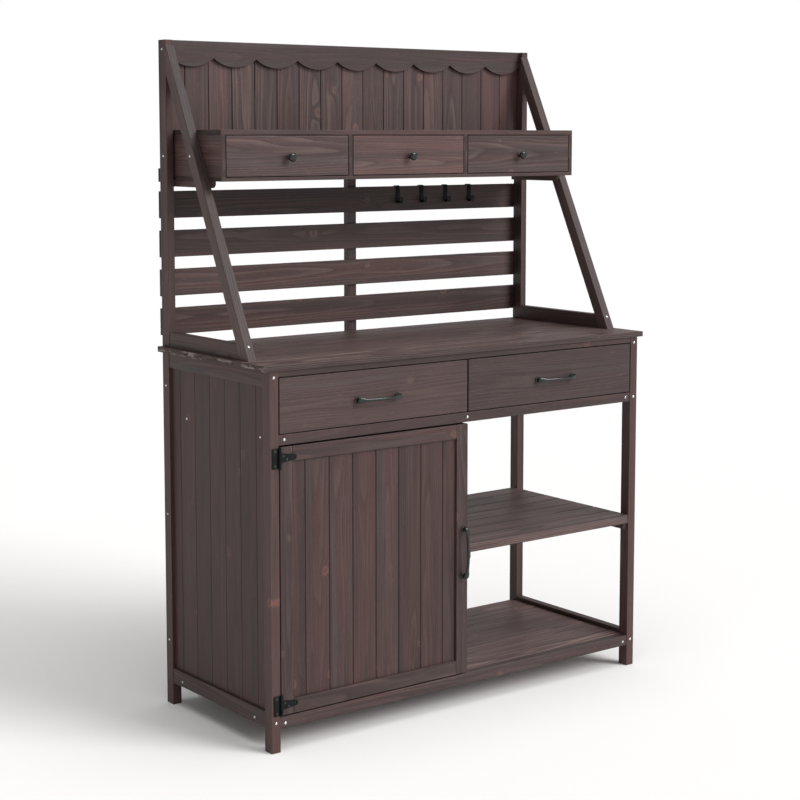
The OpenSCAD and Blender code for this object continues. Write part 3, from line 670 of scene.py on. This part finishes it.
low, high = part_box("hutch_base_rails")
base_rail_w = 22 * MM
rails = []
for x0 in (low.x, high.x - base_rail_w):
    rail = plank(Vector((x0, low.y, low.z)), Vector((x0 + base_rail_w, high.y, high.z)), Y)
    saw(rail, low, -square_to_slope)
    rails.append(cut_from_log(rail, unit(Y), unit(X)))
timber("base_rail_pair", rails, "frame", "hutch_base_rails")


# ---- Back slats
# Four thin slats screwed across the backs of the posts with open gaps, and a narrow rail above them
# that carries the foot of the board panel.

low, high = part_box("back_slats")
slat_h = 66 * MM
slat_pitch = (high.z - low.z - slat_h) / 3
slats = []
# From the bottom up: the top two slats, under the drawer box, are made darker as painted shade of the box's
# shadow
for i, light in enumerate((0.45, 0.9, 0.15, -0.5)):
    a = Vector((low.x, low.y, low.z + i * slat_pitch))
    b = Vector((high.x, high.y, low.z + i * slat_pitch + slat_h))
    slats.append(plank(a, b, X, look=(light, 0.6, 0.5, 0.1)))
timber("back_slat_set", slats, "frame", "back_slats")

low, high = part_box("panel_rail")
timber("panel_foot_rail", [plank(low, high, X)], "frame", "panel_rail")


# ---- Board panel and valance
# Seventeen upright tongue and groove boards close the top of the hutch. A board with nine scallops,
# cut with a jigsaw, is nailed over their upper ends.

low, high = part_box("hutch_boards")
first = 47 * MM
panel_pitch = 67.1 * MM
whole_boards = 15
widths = [first, *[panel_pitch] * whole_boards]
widths.append(high.x - low.x - sum(widths))
boards = boarding(low, high, widths, Z, X, -1, look=(0.65, 0.7, 0.4, 0.4))
timber("hutch_panel", boards, "frame", "hutch_boards")

low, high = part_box("valance")
scallops = 9
steps = 14
drop = 21 * MM
chord = (high.x - low.x) / scallops
arc_r = (chord ** 2 / 4 + drop ** 2) / (2 * drop)
bpy.ops.object.select_all(action="DESELECT")
bpy.ops.mesh.primitive_grid_add(
    x_subdivisions=scallops * steps, y_subdivisions=1, size=1,
    location=((low.x + high.x) / 2, high.y, (low.z + high.z) / 2), rotation=(math.pi / 2, 0, 0),
)
board = bpy.context.active_object
board.scale = (high.x - low.x, high.z - low.z, 1)
bpy.ops.object.transform_apply()
for vertex in board.data.vertices:
    if vertex.co.z < (low.z + high.z) / 2:
        off_centre = (vertex.co.x - low.x) % chord - chord / 2
        vertex.co.z = low.z + arc_r - math.sqrt(arc_r ** 2 - off_centre ** 2)
thickness = board.modifiers.new("thickness", "SOLIDIFY")
thickness.thickness = high.y - low.y
thickness.offset = 1
eased = board.modifiers.new("eased", "BEVEL")
eased.width = 0.8 * MM
eased.segments = 2
eased.limit_method = "ANGLE"
eased.angle_limit = math.radians(50)
for modifier in (thickness, eased):
    bpy.ops.object.modifier_apply(modifier=modifier.name)
timber("scalloped_valance", [cut_from_log(board, unit(X), unit(Y))], "frame", "valance")


# ---- Drawer box
# A shallow box between the braces and the board panel: a top, a bottom and four uprights of planed
# fir. Two cleats under its ends, with their front corner sawn off, rest on the braces and posts.

for node in ("box_top", "box_bottom"):
    low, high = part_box(node)
    timber("drawer_" + node, [plank(low, high, X)], "frame", node)

low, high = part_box("box_uprights")
box_t = 12 * MM
bay_pitch = (high.x - low.x - box_t) / 3
uprights = []
for i in range(4):
    x0 = low.x + i * bay_pitch
    a = Vector((x0, low.y, low.z))
    b = Vector((x0 + box_t, high.y, high.z))
    uprights.append(plank(a, b, Y, look=(0.6, 0.6, 0.4, 0.1)))
timber("drawer_box_uprights", uprights, "frame", "box_uprights")

low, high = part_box("box_cleats")
cleat_out = 5 * MM
corner = 8 * MM
post_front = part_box("post_left")[0].y
cleats = []
for side in (-1, 1):
    outer = high.x * side
    inner = (high.x - cleat_out - cleat_w) * side
    root = (high.x - cleat_out) * side
    bar = plank(
        Vector((min(inner, root), low.y, low.z)), Vector((max(inner, root), high.y, high.z)), Y,
    )
    saw(bar, Vector((0, low.y + corner, low.z)), Vector((0, -1, -1)).normalized())
    cleats.append(cut_from_log(bar, unit(Y), unit(X)))
    cleats.append(plank(
        Vector((min(outer, root), post_front, low.z)), Vector((max(outer, root), high.y, high.z)), Y,
    ))
timber("drawer_box_cleats", cleats, "frame", "box_cleats")


# ---- Small drawers
# Three small drawers run on the bottom of the box: a planed front, and a tray of 9 mm fir behind it.

small_front_t = 12 * MM
small_side_h = 76 * MM
small_side_in = 2.2 * MM
for place, look in (
    ("left", (0.5, 0.4, 0.5, 0.05)), ("middle", (0.8, 0.8, 0.5, 0.05)), ("right", (0.2, 0.4, 0.5, 0.05)),
):
    node = f"small_drawer_{place}"
    low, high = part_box(node)
    front_board = plank(low, Vector((high.x, low.y + small_front_t, high.z)), X, look=look)
    box_low = Vector((low.x + small_side_in, low.y + small_front_t, low.z))
    box_high = Vector((high.x - small_side_in, high.y, low.z + small_side_h))
    timber(node + "_front", [front_board], node, node)
    box = join(node + "_tray", tray(box_low, box_high, 9 * MM, 5 * MM), plain_fir)
    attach(box, node)


# ---- Bow pulls
# Cast zinc pulls with a black lacquer: a post on a round foot at each end, and a bowed bar that widens
# to a leaf over each post. Two screws from inside hold each one.


def line_through(points):
    """A row of edges through the points, to be spun or drawn out."""
    mesh = bpy.data.meshes.new("line")
    mesh.from_pydata(points, [(i, i + 1) for i in range(len(points) - 1)], [])
    line = bpy.data.objects.new("line", mesh)
    bpy.context.scene.collection.objects.link(line)
    take_up(line)
    return line


def turned(profile, steps=32):
    """A turned shape about Y from a profile of (radius, y) points."""
    shape = line_through([(r, y, 0) for r, y in profile])
    bpy.ops.object.mode_set(mode="EDIT")
    bpy.ops.mesh.select_all(action="SELECT")
    bpy.ops.mesh.spin(steps=steps, angle=2 * math.pi, center=(0, 0, 0), axis=(0, 1, 0))
    bpy.ops.mesh.select_all(action="SELECT")
    bpy.ops.mesh.remove_doubles(threshold=0.01 * MM)
    bpy.ops.mesh.normals_make_consistent(inside=False)
    bpy.ops.object.mode_set(mode="OBJECT")
    return shape


def smooth(shape, degrees=35):
    """Shade a metal part smooth up to an angle."""
    take_up(shape)
    bpy.ops.object.shade_smooth_by_angle(angle=math.radians(degrees))


def lacquer(name, colour, highlight, roughness, metallic, grit, specular=0.5):
    """A coated or plated metal with faint handling marks; grit is the size of its surface in metres."""
    material = bpy.data.materials.new(name)
    material.use_nodes = True
    tree = material.node_tree
    tree.nodes.clear()
    place = add(tree, "TexCoord", {}, "Object")
    cloud = add(tree, "TexNoise", {"Vector": place, "Scale": 60.0, "Detail": 4.0, "Roughness": 0.6})
    fine = add(tree, "TexNoise", {"Vector": place, "Scale": 1 / grit, "Detail": 2.0})
    marks = add(tree, "MapRange", (cloud, 0.35, 0.7))
    shade = add(tree, "Mix", {0: marks, 6: linear(colour), 7: linear(highlight)}, 2, data_type="RGBA")
    gloss = add(tree, "Math MULTIPLY_ADD", (marks, 0.16, roughness - 0.06))
    bump = add(tree, "Bump", {"Height": fine, "Strength": 0.12, "Distance": 0.1 * MM})
    shader = {
        "Base Color": shade, "Roughness": gloss, "Normal": bump, "Metallic": metallic,
        "Specular IOR Level": specular,
    }
    surface = add(tree, "BsdfPrincipled", shader)
    end = tree.nodes.new("ShaderNodeOutputMaterial")
    tree.links.new(surface, end.inputs["Surface"])
    return material


# Glossy black with a green cast, a little rough from the casting
black_lacquer = lacquer("black_lacquer", "#0b0e0d", "#151a19", 0.2, 0.0, 0.9 * MM)


def bow_pull(length, out):
    """A pull along X on the plane Y = 0, standing out towards -Y."""
    foot_r = 7.5 * MM
    half = length / 2 - foot_r
    bar_r = 3.2 * MM
    bar_half_w = 3.8 * MM
    leaf_r = 7.2 * MM
    end_y = 12 * MM
    rise = out - bar_r - end_y
    bpy.ops.object.select_all(action="DESELECT")
    bpy.ops.mesh.primitive_uv_sphere_add(
        segments=20, ring_count=64, radius=1, location=(0, 0, 0), rotation=(0, math.pi / 2, 0),
    )
    bar = bpy.context.active_object
    bpy.ops.object.transform_apply()
    for vertex in bar.data.vertices:
        x, y, z = vertex.co
        around = math.hypot(y, z)
        s = math.atan2(x, around) / (math.pi / 2)
        reach = abs(s)
        across = math.hypot(y, z) or 1.0
        y, z = (y / across, z / across) if around > 1e-6 else (0.0, 0.0)
        leaf = math.exp(-((reach - 0.86) / 0.17) ** 2)
        wide = bar_half_w + (leaf_r - bar_half_w) * leaf
        thin = bar_r - 0.2 * MM * leaf
        closing = math.sqrt(max(0.0, 1 - max(0.0, (reach - 0.93) / 0.07) ** 2))
        vertex.co.x = s * (half + foot_r - 0.6 * MM)
        vertex.co.y = -(end_y + rise * (1 - s * s)) + y * thin * closing
        vertex.co.z = z * wide * closing
    parts = [bar]
    for side in (-1, 1):
        post = turned([
            (0, 0), (foot_r, 0), (foot_r, -1.6 * MM), (foot_r - 0.8 * MM, -2.6 * MM),
            (5.6 * MM, -3.4 * MM), (5.2 * MM, -5 * MM), (5.2 * MM, -9 * MM), (4.4 * MM, -12 * MM),
            (2.0 * MM, -13.6 * MM), (0, -14 * MM),
        ])
        post.location = (side * half, 0, 0)
        bpy.ops.object.transform_apply(location=True, rotation=False, scale=False)
        parts.append(post)
    return parts


for node, body, upright in (
    ("drawer_left_pull", "drawer_left", False), ("drawer_right_pull", "drawer_right", False),
    ("door_pull", "door", True),
):
    low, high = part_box(node)
    length = (high.z - low.z) if upright else (high.x - low.x)
    pull = join(node.replace("_pull", "_bow_pull"), bow_pull(length, high.y - low.y), black_lacquer)
    middle = (low + high) / 2
    pull.rotation_euler = (0, math.pi / 2 if upright else 0, 0)
    pull.location = (middle.x, high.y, middle.z)
    bpy.ops.object.transform_apply()
    smooth(pull, 40)
    stand_for(pull, body, "black_metal", node)


# ---- Knobs
# Small turned zinc knobs with the same black lacquer: a foot, a waist and a flattened round head.

for place in ("left", "middle", "right"):
    low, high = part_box(f"knob_{place}")
    head_r = (high.x - low.x) / 2
    out = high.y - low.y
    foot_r = 6.5 * MM
    profile = [(0, 0), (foot_r, 0), (foot_r, -1.5 * MM), (foot_r - 0.8 * MM, -2.4 * MM)]
    profile += [(4.4 * MM, -3.6 * MM), (3.9 * MM, -6 * MM), (4.2 * MM, -9 * MM), (6.2 * MM, -11.5 * MM)]
    crown = 6 * MM
    for i in range(9):
        turn = math.radians(-50 + i * 140 / 8)
        profile.append((
            (head_r - crown) + crown * math.cos(turn), -(out - crown * 0.86) - crown * 0.86 * math.sin(turn),
        ))
    profile.append((0, -out))
    knob = join(f"{place}_knob", [turned(profile)], black_lacquer)
    knob.location = ((low.x + high.x) / 2, high.y, (low.z + high.z) / 2)
    bpy.ops.object.transform_apply(location=True, rotation=False, scale=False)
    smooth(knob, 50)
    stand_for(knob, f"small_drawer_{place}", "black_metal", f"knob_{place}")


# ---- Screws
# Zinc-plated wood screws with a domed head and a cross recess, driven through legs, rails, posts and
# braces. Only their heads show.


def cut_out(shape, tool):
    """Cut one closed shape out of another, and take the tool away."""
    cut = shape.modifiers.new("cut", "BOOLEAN")
    cut.operation = "DIFFERENCE"
    cut.object = tool
    cut.solver = "EXACT"
    bpy.context.view_layer.objects.active = shape
    bpy.ops.object.modifier_apply(modifier=cut.name)
    bpy.data.objects.remove(tool)


def cross_screw(radius, height):
    """The head of a screw on the plane Y = 0, standing out towards -Y."""
    head = turned([
        (0, 0), (radius, 0), (radius, -0.28 * height), (0.9 * radius, -0.55 * height),
        (0.68 * radius, -0.82 * height), (0.35 * radius, -0.96 * height), (0, -height),
    ], 20)
    reach = 0.55 * radius
    half = 0.13 * radius
    for across, up in ((reach, half), (half, reach)):
        cut_out(head, cube(Vector((-across, -2 * height, -up)), Vector((across, -0.45 * height, up))))
    return head


def driven(screw, place, turn=(0, 0, 0)):
    """A copy of a screw, driven at a place; turn tips it from looking towards -Y."""
    take_up(screw)
    bpy.ops.object.duplicate()
    copy = bpy.context.active_object
    copy.rotation_euler = turn
    copy.location = place
    bpy.ops.object.transform_apply()
    return copy


# Bright zinc plate, which catches the light as a small clear point on each head
bright_zinc = lacquer("bright_zinc_plate", "#c4c6c9", "#e4e6e8", 0.24, 1.0, 0.5 * MM)
wood_screw = cross_screw(3.4 * MM, 1.6 * MM)
leg_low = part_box("leg_front_left")[0]
leg_half_y = 15 * MM
back_leg_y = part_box("leg_back_left")[1].y - leg_half_y
post_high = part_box("post_left")[1]
base_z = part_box("front_bottom_rail")[0].z
bay_low, bay_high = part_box("box_uprights")
bay_mid = (bay_low.z + bay_high.z) / 2
worktop_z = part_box("worktop_boards")[1].z
brace_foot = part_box("brace_left")[0].y
brace_rise = 32 * MM
brace_mid = brace_foot + (bay_low.z - 9 * MM - worktop_z) * math.tan(brace_angle) + 50 * MM
apron_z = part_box("apron_rail")[0].z
drawer_rail_mid = (drawer_rail_low.z + drawer_rail_high.z) / 2
rail_face = drawer_rail_low.y
leg_mid_x = leg_low.x + 12 * MM
heads = []
for side in (-1, 1):
    turned_out = (0, 0, side * math.pi / 2)
    face_x = -side * leg_low.x
    side_places = [(face_x, back_leg_y, z) for z in (164 * MM, 483 * MM, 804 * MM)]
    side_places += [(face_x - side * 1 * MM, y, base_z + 13 * MM) for y in (-165 * MM, 165 * MM)]
    side_places += [(face_x, post_high.y - 17 * MM, z) for z in (post_high.z - 22 * MM, bay_mid)]
    side_places.append((face_x, brace_mid, bay_mid))
    heads += [driven(wood_screw, place, turned_out) for place in side_places]
    front_x = -side * leg_mid_x
    heads.append(driven(wood_screw, (front_x, leg_low.y, apron_z)))
    heads.append(driven(wood_screw, (front_x, leg_low.y, base_z + 15 * MM)))
    heads.append(driven(wood_screw, (front_x - side * 28 * MM, rail_face, drawer_rail_mid)))
    heads.append(driven(wood_screw, (front_x - side * 26 * MM, rail_face, base_z + 11 * MM)))
    brace_y = brace_foot + brace_rise * math.tan(brace_angle)
    heads.append(driven(wood_screw, (front_x, brace_y, worktop_z + brace_rise), (-brace_angle, 0, 0)))
board_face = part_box("side_boards")[0].x
for y in (-188 * MM, 140 * MM):
    heads.append(driven(wood_screw, (board_face, y, 731 * MM), (0, 0, -math.pi / 2)))
heads.append(driven(wood_screw, (0, rail_face, drawer_rail_mid)))
heads.append(driven(wood_screw, (-leg_mid_x, leg_low.y, drawer_rail_mid)))
bpy.data.objects.remove(wood_screw)
screws = join("wood_screws", heads, bright_zinc)
smooth(screws, 30)
stand_for(screws, "frame", "zinc_steel", "screws")


# ---- Hinges
# Two pressed steel T hinges, black: a plate screwed to the leg, a tapered strap on the door, and a
# pin through their knuckles. The hole at the end of each strap has no screw in it.

# A thin, satin black coat, and the duller zinc of small screws whose heads have been in the dip
black_steel = lacquer("black_steel", "#0b0d0e", "#131617", 0.38, 0.0, 0.7 * MM, 0.15)
dull_zinc = lacquer("dull_zinc_plate", "#343734", "#4a4c49", 0.5, 0.6, 0.5 * MM)
pin_low, pin_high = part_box("hinge_pins")
pin_x = (pin_low.x + pin_high.x) / 2
pin_y = (pin_low.y + pin_high.y) / 2
pin_half = 25.1 * MM
hinge_heights = (pin_low.z + pin_half, pin_high.z - pin_half)
plate_half = 23.5 * MM
strap_half = 8 * MM
knuckle_r = 3.6 * MM
back_y = 4 * MM
steel_t = 2 * MM
hinge_screw = cross_screw(2.8 * MM, 1.2 * MM)


def knuckle(foot, top):
    """One rolled knuckle about the pin, with its bore open."""
    bpy.ops.object.select_all(action="DESELECT")
    bpy.ops.mesh.primitive_cylinder_add(
        vertices=28, radius=knuckle_r, depth=top - foot, end_fill_type="NOTHING",
        location=(0, 0, (foot + top) / 2),
    )
    roll = bpy.context.active_object
    bpy.ops.object.transform_apply()
    wall = roll.modifiers.new("wall", "SOLIDIFY")
    wall.thickness = knuckle_r - 1.7 * MM
    wall.offset = -1
    bpy.ops.object.modifier_apply(modifier=wall.name)
    return roll


def strap():
    """The tapered strap: a disc drawn out to the root, with an open hole in its round end."""
    root = 4.5 * MM
    root_half = 11 * MM
    tip = 40 * MM
    tip_r = 6.5 * MM
    bpy.ops.object.select_all(action="DESELECT")
    bpy.ops.mesh.primitive_cylinder_add(
        vertices=32, radius=tip_r, depth=steel_t, location=(tip, back_y - steel_t / 2, 0),
        rotation=(math.pi / 2, 0, 0),
    )
    leaf = bpy.context.active_object
    bpy.ops.object.transform_apply()
    for vertex in leaf.data.vertices:
        if vertex.co.x < tip - 0.1 * MM:
            vertex.co.x = root
            vertex.co.z *= root_half / tip_r
    bpy.ops.mesh.primitive_cylinder_add(
        vertices=24, radius=2.4 * MM, depth=4 * steel_t, location=(tip, back_y, 0),
        rotation=(math.pi / 2, 0, 0),
    )
    cut_out(leaf, bpy.context.active_object)
    return leaf


plates = []
straps = []
plate_screws = []
strap_screws = []
for height in hinge_heights:
    axis = Vector((pin_x, pin_y, height))
    face_y = back_y - steel_t
    plate_foot = Vector((-20 * MM, face_y, -plate_half))
    plate = [eased_block(plate_foot, Vector((-4 * MM, back_y, plate_half)), 0.5 * MM)]
    for foot, top in ((-plate_half, -8.5 * MM), (8.5 * MM, plate_half)):
        plate.append(knuckle(foot, top))
        plate.append(cube(Vector((-4.5 * MM, face_y, foot)), Vector((-1.5 * MM, back_y - 0.4 * MM, top))))
    pair = [driven(hinge_screw, (-12 * MM, face_y, z)) for z in (-17 * MM, 17 * MM)]
    leaf = [strap(), knuckle(-strap_half, strap_half)]
    neck = Vector((1.5 * MM, face_y, -strap_half))
    leaf.append(cube(neck, Vector((4.6 * MM, back_y - 0.4 * MM, strap_half))))
    other = [driven(hinge_screw, (x, face_y, z)) for x, z in ((10 * MM, 4 * MM), (20 * MM, -4 * MM))]
    for group, parts in ((plates, plate), (straps, leaf), (plate_screws, pair), (strap_screws, other)):
        for part in parts:
            part.data.transform(Matrix.Translation(axis))
        group += parts
bpy.data.objects.remove(hinge_screw)
hinge_plates = join("hinge_plate_pair", plates, black_steel)
smooth(hinge_plates)
stand_for(hinge_plates, "frame", "black_metal", "hinge_plates")
hinge_straps = join("hinge_strap_pair", straps, black_steel)
smooth(hinge_straps)
stand_for(hinge_straps, "door", "black_metal", "hinge_straps")
for name, body, screws in (
    ("hinge_plate_screws", "frame", plate_screws), ("hinge_strap_screws", "door", strap_screws),
):
    heads = join(name, screws, dull_zinc)
    smooth(heads, 30)
    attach(heads, body)

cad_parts["hinge_pins"].material_slots[0].material = black_steel


# ---- Door catch
# A magnet in a black case on the partition, the edges of its two pole plates a millimetre proud of the
# case, and a zinc strike plate on the inside of the door, held by two small screws between the poles.

pole_out = 1 * MM
low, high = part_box("catch_magnet")
case = eased_block(Vector((low.x, low.y + pole_out, low.z)), high, 1.2 * MM)
case = join("catch_case", [case], black_steel)
smooth(case)
stand_for(case, "frame", "black_metal", "catch_magnet")

middle_z = (low.z + high.z) / 2
poles = []
for z in (middle_z - 5.5 * MM, middle_z + 4 * MM):
    a = Vector((low.x + 2.5 * MM, low.y, z))
    b = Vector((high.x - 2.5 * MM, low.y + 4 * MM, z + 1.5 * MM))
    poles.append(eased_block(a, b, 0.2 * MM))
poles = join("catch_poles", poles, dull_zinc)
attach(poles, "frame")

head_out = 0.4 * MM
low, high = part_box("catch_strike")
strike = [eased_block(low, Vector((high.x, high.y - head_out, high.z)), 0.3 * MM)]
strike_screw = cross_screw(2.2 * MM, head_out)
for x in (low.x + 4.5 * MM, high.x - 4.5 * MM):
    strike.append(driven(strike_screw, (x, high.y - head_out, middle_z), (0, 0, math.pi)))
bpy.data.objects.remove(strike_screw)
strike = join("catch_strike_plate", strike, bright_zinc)
smooth(strike, 30)
stand_for(strike, "door", "zinc_steel", "catch_strike")


# ---- Hooks
# Four hooks of black strip steel, bent cold: over the top edge of the slat, down its face and out
# into a round J. They can be slid along the slat.

strip_t = 1.8 * MM
slat_t = 9 * MM
hang_play = 0.6 * MM
bend_r = 7 * MM
tail = 14 * MM
tip = 8 * MM
corner = 2 * MM
bevel = 0.6 * MM
bend_steps = 12
for i in range(1, 5):
    low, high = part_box(f"hook_{i}")
    back = high.y - strip_t / 2
    front = back - slat_t - hang_play - strip_t
    top = high.z - strip_t / 2
    bend_y = front - strip_t / 2 - bend_r
    foot = low.z + strip_t + bend_r
    path = [(back, top - tail), (back, top - corner), (back - bevel, top - bevel), (back - corner, top)]
    path += [(front + corner, top), (front + bevel, top - bevel), (front, top - corner), (front, foot)]
    middle_r = bend_r + strip_t / 2
    for step in range(1, bend_steps + 1):
        turn = math.pi * step / bend_steps
        path.append((bend_y + middle_r * math.cos(turn), foot - middle_r * math.sin(turn)))
    path.append((path[-1][0], foot + tip))
    strip = line_through([(low.x, y, z) for y, z in path])
    bpy.ops.object.mode_set(mode="EDIT")
    bpy.ops.mesh.select_all(action="SELECT")
    bpy.ops.mesh.extrude_region_move(TRANSFORM_OT_translate={"value": (high.x - low.x, 0, 0)})
    bpy.ops.object.mode_set(mode="OBJECT")
    wall = strip.modifiers.new("wall", "SOLIDIFY")
    wall.thickness = strip_t
    wall.offset = 0
    eased = strip.modifiers.new("eased", "BEVEL")
    eased.width = 0.35 * MM
    eased.limit_method = "ANGLE"
    eased.angle_limit = math.radians(60)
    for modifier in (wall, eased):
        bpy.ops.object.modifier_apply(modifier=modifier.name)
    bpy.ops.object.mode_set(mode="EDIT")
    bpy.ops.mesh.select_all(action="SELECT")
    bpy.ops.mesh.normals_make_consistent(inside=False)
    bpy.ops.object.mode_set(mode="OBJECT")
    hook = join(f"strip_hook_{i}", [strip], black_steel)
    smooth(hook)
    stand_for(hook, f"hook_{i}", "black_metal", f"hook_{i}")


# ---- Studio
# A white floor and white walls, dimmer to the left and overhead. A wide soft light stands to the right of the
# front, a weaker one to the left, and a third hangs overhead; they are far enough off to be even.

bpy.ops.object.select_all(action="DESELECT")
bpy.ops.mesh.primitive_plane_add(size=80, location=(0, 0, 0))
floor = bpy.context.active_object
floor.name = "studio_floor"

# Matt white paper, with no gloss to mirror the bench's feet
paper = bpy.data.materials.new("white_paper")
paper.use_nodes = True
paper_shader = paper.node_tree.nodes["Principled BSDF"]
paper_shader.inputs["Base Color"].default_value = linear("#f7f6f5")
paper_shader.inputs["Roughness"].default_value = 1.0
paper_shader.inputs["Specular IOR Level"].default_value = 0.0
floor.data.materials.append(paper)

world = bpy.data.worlds.new("studio")
bpy.context.scene.world = world
world.use_nodes = True
room = world.node_tree
across, height = (
    add(room, "SeparateXYZ", (add(room, "TexCoord", {}, "Generated"),), axis) for axis in (X, Z)
)
wall = add(room, "MapRange", (height, 0.14, 0.3, 1.0, 0.3))
side = add(room, "MapRange", (across, -0.4, 0.1, 0.3, 1.0))
wall = add(room, "Math MULTIPLY", (wall, side))
room.links.new(wall, room.nodes["Background"].inputs["Strength"])
room.nodes["Background"].inputs["Color"].default_value = linear("#ffffff")


def soft_light(name, azimuth, elevation, spread, power):
    """A distant soft light: azimuth 0 is in front of the bench, positive to its right, in degrees."""
    light = bpy.data.lights.new(name, "SUN")
    light.energy = power
    light.angle = math.radians(spread)
    lamp = bpy.data.objects.new(name, light)
    bpy.context.scene.collection.objects.link(lamp)
    lamp.rotation_euler = (math.radians(90 - elevation), 0, math.radians(azimuth))


soft_light("key", 32, 31, 32, 2.3)
soft_light("fill", -65, 20, 60, 0.4)
soft_light("overhead", 0, 80, 60, 1.4)

camera_data = bpy.data.cameras.new("camera")
camera_data.sensor_width = 36
camera_data.lens = 79.4
camera_data.shift_y = -0.10
camera = bpy.data.objects.new("camera", camera_data)
bpy.context.scene.collection.objects.link(camera)
camera.location = (-2.7215, -3.5428, 1.4167)
camera.rotation_euler = (math.radians(90 - 6.0), 0, math.radians(-37.26))
bpy.context.scene.camera = camera
bpy.context.scene.view_settings.view_transform = "Standard"
